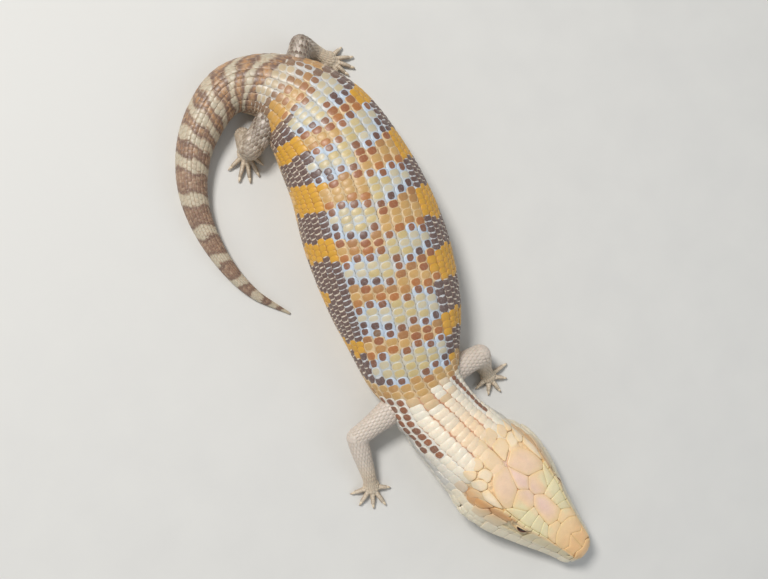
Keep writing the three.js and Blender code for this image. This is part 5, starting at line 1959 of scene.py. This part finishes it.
# %% Lay the scales of the legs
def lay_on_skin(leg_name, seeds):
    """Lays the seeds of a leg on its skin as one piece."""
    size, count = len(PLAIN["share"]), len(seeds)
    jitter = rng.uniform(-1, 1, count)
    small = np.minimum(1, np.array([seed[4] for seed in seeds]))
    heights = scale_heights(PLAIN, 0.24 * small, 0.12 * small, 0.3) - 0.02
    points = np.zeros((count, size, 3))
    for i, (spot, out, forward, half_wide, half_long, _) in enumerate(seeds):
        down = unit(forward - out * (forward @ out))
        across = np.cross(out, down)
        for j in range(size):
            guess = spot + across * PLAIN["across"][j] * half_wide
            guess = guess + down * PLAIN["endwise"][j] * half_long
            landed = tree.find_nearest(Vector(guess) * MM)[0]
            points[i, j] = np.array(landed) / MM + out * heights[i, j]
    points[..., 2] = np.maximum(points[..., 2], FLOOR_SKIM)
    heart = leg_tone(leg_name, np.array([seed[0] for seed in seeds]), jitter)
    heart, rim = (np.repeat(tone, size, axis=0) for tone in (heart, tinted(heart, "chalk", 0.3)))
    window = (PLAIN["endwise"] - 0.37)[None] / 0.63
    patch = np.array([seed[5] for seed in seeds])[:, None, :]
    square = np.stack([PLAIN["endwise"], PLAIN["across"]], -1)[None]
    bake = patch[..., :2] + square * patch[..., 2:]
    fit = repeated(LEG_TILE, count)
    thing = scale_object(f"scales_{leg_name}", PLAIN, points, heart, rim, window, fit, jitter, bake)
    hand_over(thing, [f"{leg_name}_{part}" for part in ("upper", "lower", "foot")])


for leg_name, leg in LEGS.items():
    ringed = BONE_SEEDS[leg_name]
    lay_on_skin(leg_name, ringed + knee_seeds(leg, ringed) + palm_seeds(leg) + toe_seeds(leg))

# %% [markdown]
# ## Claws
#
# Each toe ends in a short curved claw of pale horn, thick where it leaves the toe and sharp at its
# point. It is a tube along an arc that rises and comes down to the floor.

# %% Claws
claw_paint = Paint("claw_horn")
_length = claw_paint.attribute("length", "Fac")
_streaks = claw_paint.noise(1800, 2.0)
_yellowed = claw_paint.ease(_length, 0.1, 1.0)
claw_paint.set(
    Base_Color=claw_paint.mix(_yellowed, rgba((226, 210, 184)), rgba((186, 160, 130))),
    Roughness=claw_paint.ease(_streaks, 0.2, 0.8, 0.26, 0.42),
    Normal=claw_paint.bump(_streaks, 0.3, 0.0001),
    Coat_Weight=0.3, Coat_Roughness=0.12,
)
CLAW_RINGS, CLAW_SIDES = 9, 10
CLAW_ARCH, CLAW_POINT = 1.15, 0.22   # mm over the floor, half way along and at the point


def claws():
    """All claws as one object, with how far along its claw each point lies."""
    share = np.linspace(0, 1, CLAW_RINGS)
    radii = TOE_RADIUS * 0.66 * (1 - share ** 1.4) + 0.05
    face_sets = [ring_faces(CLAW_RINGS, CLAW_SIDES), end_caps(CLAW_RINGS, CLAW_SIDES)]
    forms = []
    for leg in LEGS.values():
        for tip in leg["tips"]:
            _, _, end, last = toe_path(leg, tip)
            bow = (end + last) / 2
            bow[2] = CLAW_ARCH
            point = np.array((last[0], last[1], CLAW_POINT))
            path = curve_through([end - unit(last - end) * 0.35, bow, point], CLAW_RINGS)
            loops = tube_loops(path, radii, 1.15, CLAW_SIDES)
            forms.append((np.concatenate([loops.reshape(-1, 3), path[:1], path[-1:]]), face_sets))
    cloud, face_sets = merged(forms)
    cloud[:, 2] = np.maximum(cloud[:, 2], FLOOR_SKIM)
    length = np.tile(np.concatenate([np.repeat(share, CLAW_SIDES), [0, 1]]), len(forms))
    return make_object("claws", cloud, face_sets, claw_paint.material, length=length)


hand_over(claws(), [f"{name}_foot" for name in LEGS])

# %% [markdown]
# ## Eyes and lids
#
# The eye is a small glossy ball, dark red-brown, with a round pupil. Two thick lids lie over it. They
# are one soft ring: its inner edge hugs the ball along a narrow almond, and its outer edge runs out
# into the skin. Small bead-like scales stud it.

# %% Eyes
eye_paint = Paint("eye_gloss")
_gaze = eye_paint.attribute("gaze", "Fac")   # 1 in the middle of the pupil, -1 at the back of the ball
_fibres = eye_paint.noise(2600, 3.0)
_iris = eye_paint.mix(_fibres, rgba((74, 30, 18)), rgba((128, 62, 30)))
_pupil = eye_paint.ease(_gaze + (_fibres - 0.5) * 0.02, 0.80, 0.83)
_ring = eye_paint.mix(_pupil, _iris, rgba((10, 6, 5)))
eye_paint.set(
    Base_Color=eye_paint.mix(eye_paint.ease(_gaze, 0.42, 0.5), rgba((46, 26, 18)), _ring),
    Roughness=eye_paint.ease(_fibres, 0.2, 0.8, 0.05, 0.11),
    Coat_Weight=0.35, Coat_Roughness=0.03, Specular_IOR_Level=0.35,
)
EYE_RINGS, EYE_SIDES = 26, 40
EYE_GAP = 0.03             # mm from the ball to the lids


def eye_frame(side):
    """The eye's middle and its directions out, tailwards and up."""
    at, step = EYE["at"], side * EYE["step"]
    centre = body_point(at, step, -EYE["sink"])
    ahead = body_point(at + HALF_SPAN, step) - body_point(at - HALF_SPAN, step)
    round_it = body_point(at, step + 0.05) - body_point(at, step - 0.05)
    out = unit(np.cross(ahead, round_it))
    if out @ (body_point(at, step, 1.0) - body_point(at, step)) < 0:
        out = -out
    back = body_frame(np.array(at))[3]
    back = unit(back - out * (back @ out))
    up = np.cross(out, back)
    return centre, out, back, up if up[2] > 0 else -up


def eyeball(name, side):
    """A ball whose rings lie round the line of sight."""
    centre, out, back, up = eye_frame(side)
    radius = EYE["radius"] - EYE_GAP
    tilt = np.linspace(0, math.pi, EYE_RINGS + 2)[1:-1]
    turn = full_turn(EYE_SIDES)[:, None]
    ring = np.cos(turn) * back + np.sin(turn) * up
    loops = np.array([centre + radius * (math.cos(a) * out + math.sin(a) * ring) for a in tilt])
    points = np.concatenate([loops.reshape(-1, 3), [centre + out * radius, centre - out * radius]])
    face_sets = [ring_faces(EYE_RINGS, EYE_SIDES), end_caps(EYE_RINGS, EYE_SIDES)]
    gaze = np.concatenate([np.repeat(np.cos(tilt), EYE_SIDES), [1, -1]])
    return facing_out(make_object(name, points, face_sets, eye_paint.material, gaze=gaze))


for eye_name, side in (("eye_right", -1), ("eye_left", 1)):
    hand_over(eyeball(f"{eye_name}_ball", side), [eye_name])

# %% [markdown]
# Lids could be cut from a sphere. But they have to end in the skin without a step, so each ring of
# points is mixed from a place on the ball and a place on the head, and only the inner ones hug the eye.

# %% Lids
LID_REACH = (4.4, 2.4)     # mm, half length and half height of the lids' outer rim
LID_STEPS = 0.286          # steps round the head in one mm, beside the eye
LID_SIDES = 180
LID_BEADS = ((0.10, 0.30, 22), (0.30, 0.62, 18), (0.62, 1.0, 15))   # from, to, and beads in the row
BEAD_HEIGHT = 0.17


def bead_height(share, turn):
    """Rows of small rounded scales on the lids."""
    height = np.zeros_like(share)
    for row, (start, end, count) in enumerate(LID_BEADS):
        inside_row = (share >= start) & (share < end)
        v = (share - start) / (end - start) * 2 - 1
        u = ((turn / (2 * math.pi) * count + 0.5 * row) % 1.0) * 2 - 1
        pillow = np.clip(1 - np.abs(u) ** 4, 0, 1) * np.clip(1 - np.abs(v) ** 4, 0, 1)
        height = np.where(inside_row, BEAD_HEIGHT * pillow ** 0.5, height)
    return height


def lid_loops(side):
    """Rings of the lids from the almond opening out to the skin, and how far out each point lies."""
    centre, out, back, up = eye_frame(side)
    shares = np.concatenate([[0, 0, 0.03, 0.07], np.linspace(0.10, 1.0, 40), [1.0]])
    thick = np.interp(shares, (0, 0.07, 0.2, 1), (0.1, 0.34, 0.36, 0.2))
    thick[0] = -0.3
    share, turn = np.meshgrid(shares, full_turn(LID_SIDES), indexing="ij")
    lift = np.sin(turn) * np.abs(np.sin(turn)) ** 0.3
    along_it = np.cos(turn) * (EYE["length"] / 2 * (1 - share) + LID_REACH[0] * share)
    above = lift * EYE["height"] / 2 * (1 - share) + np.sin(turn) * LID_REACH[1] * share
    beads = bead_height(share, turn)
    reach = EYE["radius"] + thick[:, None] + beads
    bulge = np.sqrt(np.maximum(reach ** 2 - along_it ** 2 - above ** 2, 0))
    ball = centre + along_it[..., None] * back + above[..., None] * up + bulge[..., None] * out
    level = -0.12 + beads - 0.5 * (np.arange(len(shares)) == len(shares) - 1)[:, None]
    step = side * (EYE["step"] - above * LID_STEPS)
    face = head_point(EYE["at"] + along_it, step, level)
    return blend(ball, face, ramp(0.25, 0.8, share)), share


LID_EDGE, LID_BEAD = linear((104, 62, 48)), linear((224, 196, 152))


def lids():
    """The lids of both eyes as one object."""
    forms, tones = [], []
    for side in (1, -1):
        loops, share = lid_loops(side)
        quads = ring_faces(*share.shape)
        forms.append((loops.reshape(-1, 3), [quads if side > 0 else quads[:, ::-1]]))
        # Painted shade: the skin is darkened by a quarter between and round the beads, where the lid
        # dips.
        seam = 1 - 0.25 * (bead_height(share, full_turn(LID_SIDES)[None]) < 0.06)
        tone = blend(LID_EDGE, LID_BEAD, ramp(0.04, 0.2, share)) * seam[..., None]
        tones.append(tone.reshape(-1, 3))
    return make_object("lids", *merged(forms), soft_skin, tone=np.concatenate(tones))


hand_over(lids(), ["head"])

# %% [markdown]
# ## Floor
#
# A plain pale floor with a faint grain carries the animal.

# %% Floor
floor_paint = Paint("pale_floor")
_grain = floor_paint.noise(60, 3.0)
floor_paint.set(
    Base_Color=floor_paint.mix(_grain, rgba((210, 209, 206)), rgba((218, 217, 213))),
    Roughness=floor_paint.ease(_grain, 0.2, 0.8, 0.6, 0.75),
)
FLOOR_SIZE = 1500          # mm from the middle to a side
corners = np.array([(-1, -1), (1, -1), (1, 1), (-1, 1)]) * FLOOR_SIZE
floor = make_object("floor", np.column_stack([corners, np.zeros(4)]), [np.array([[0, 1, 2, 3]])],
                    floor_paint.material)
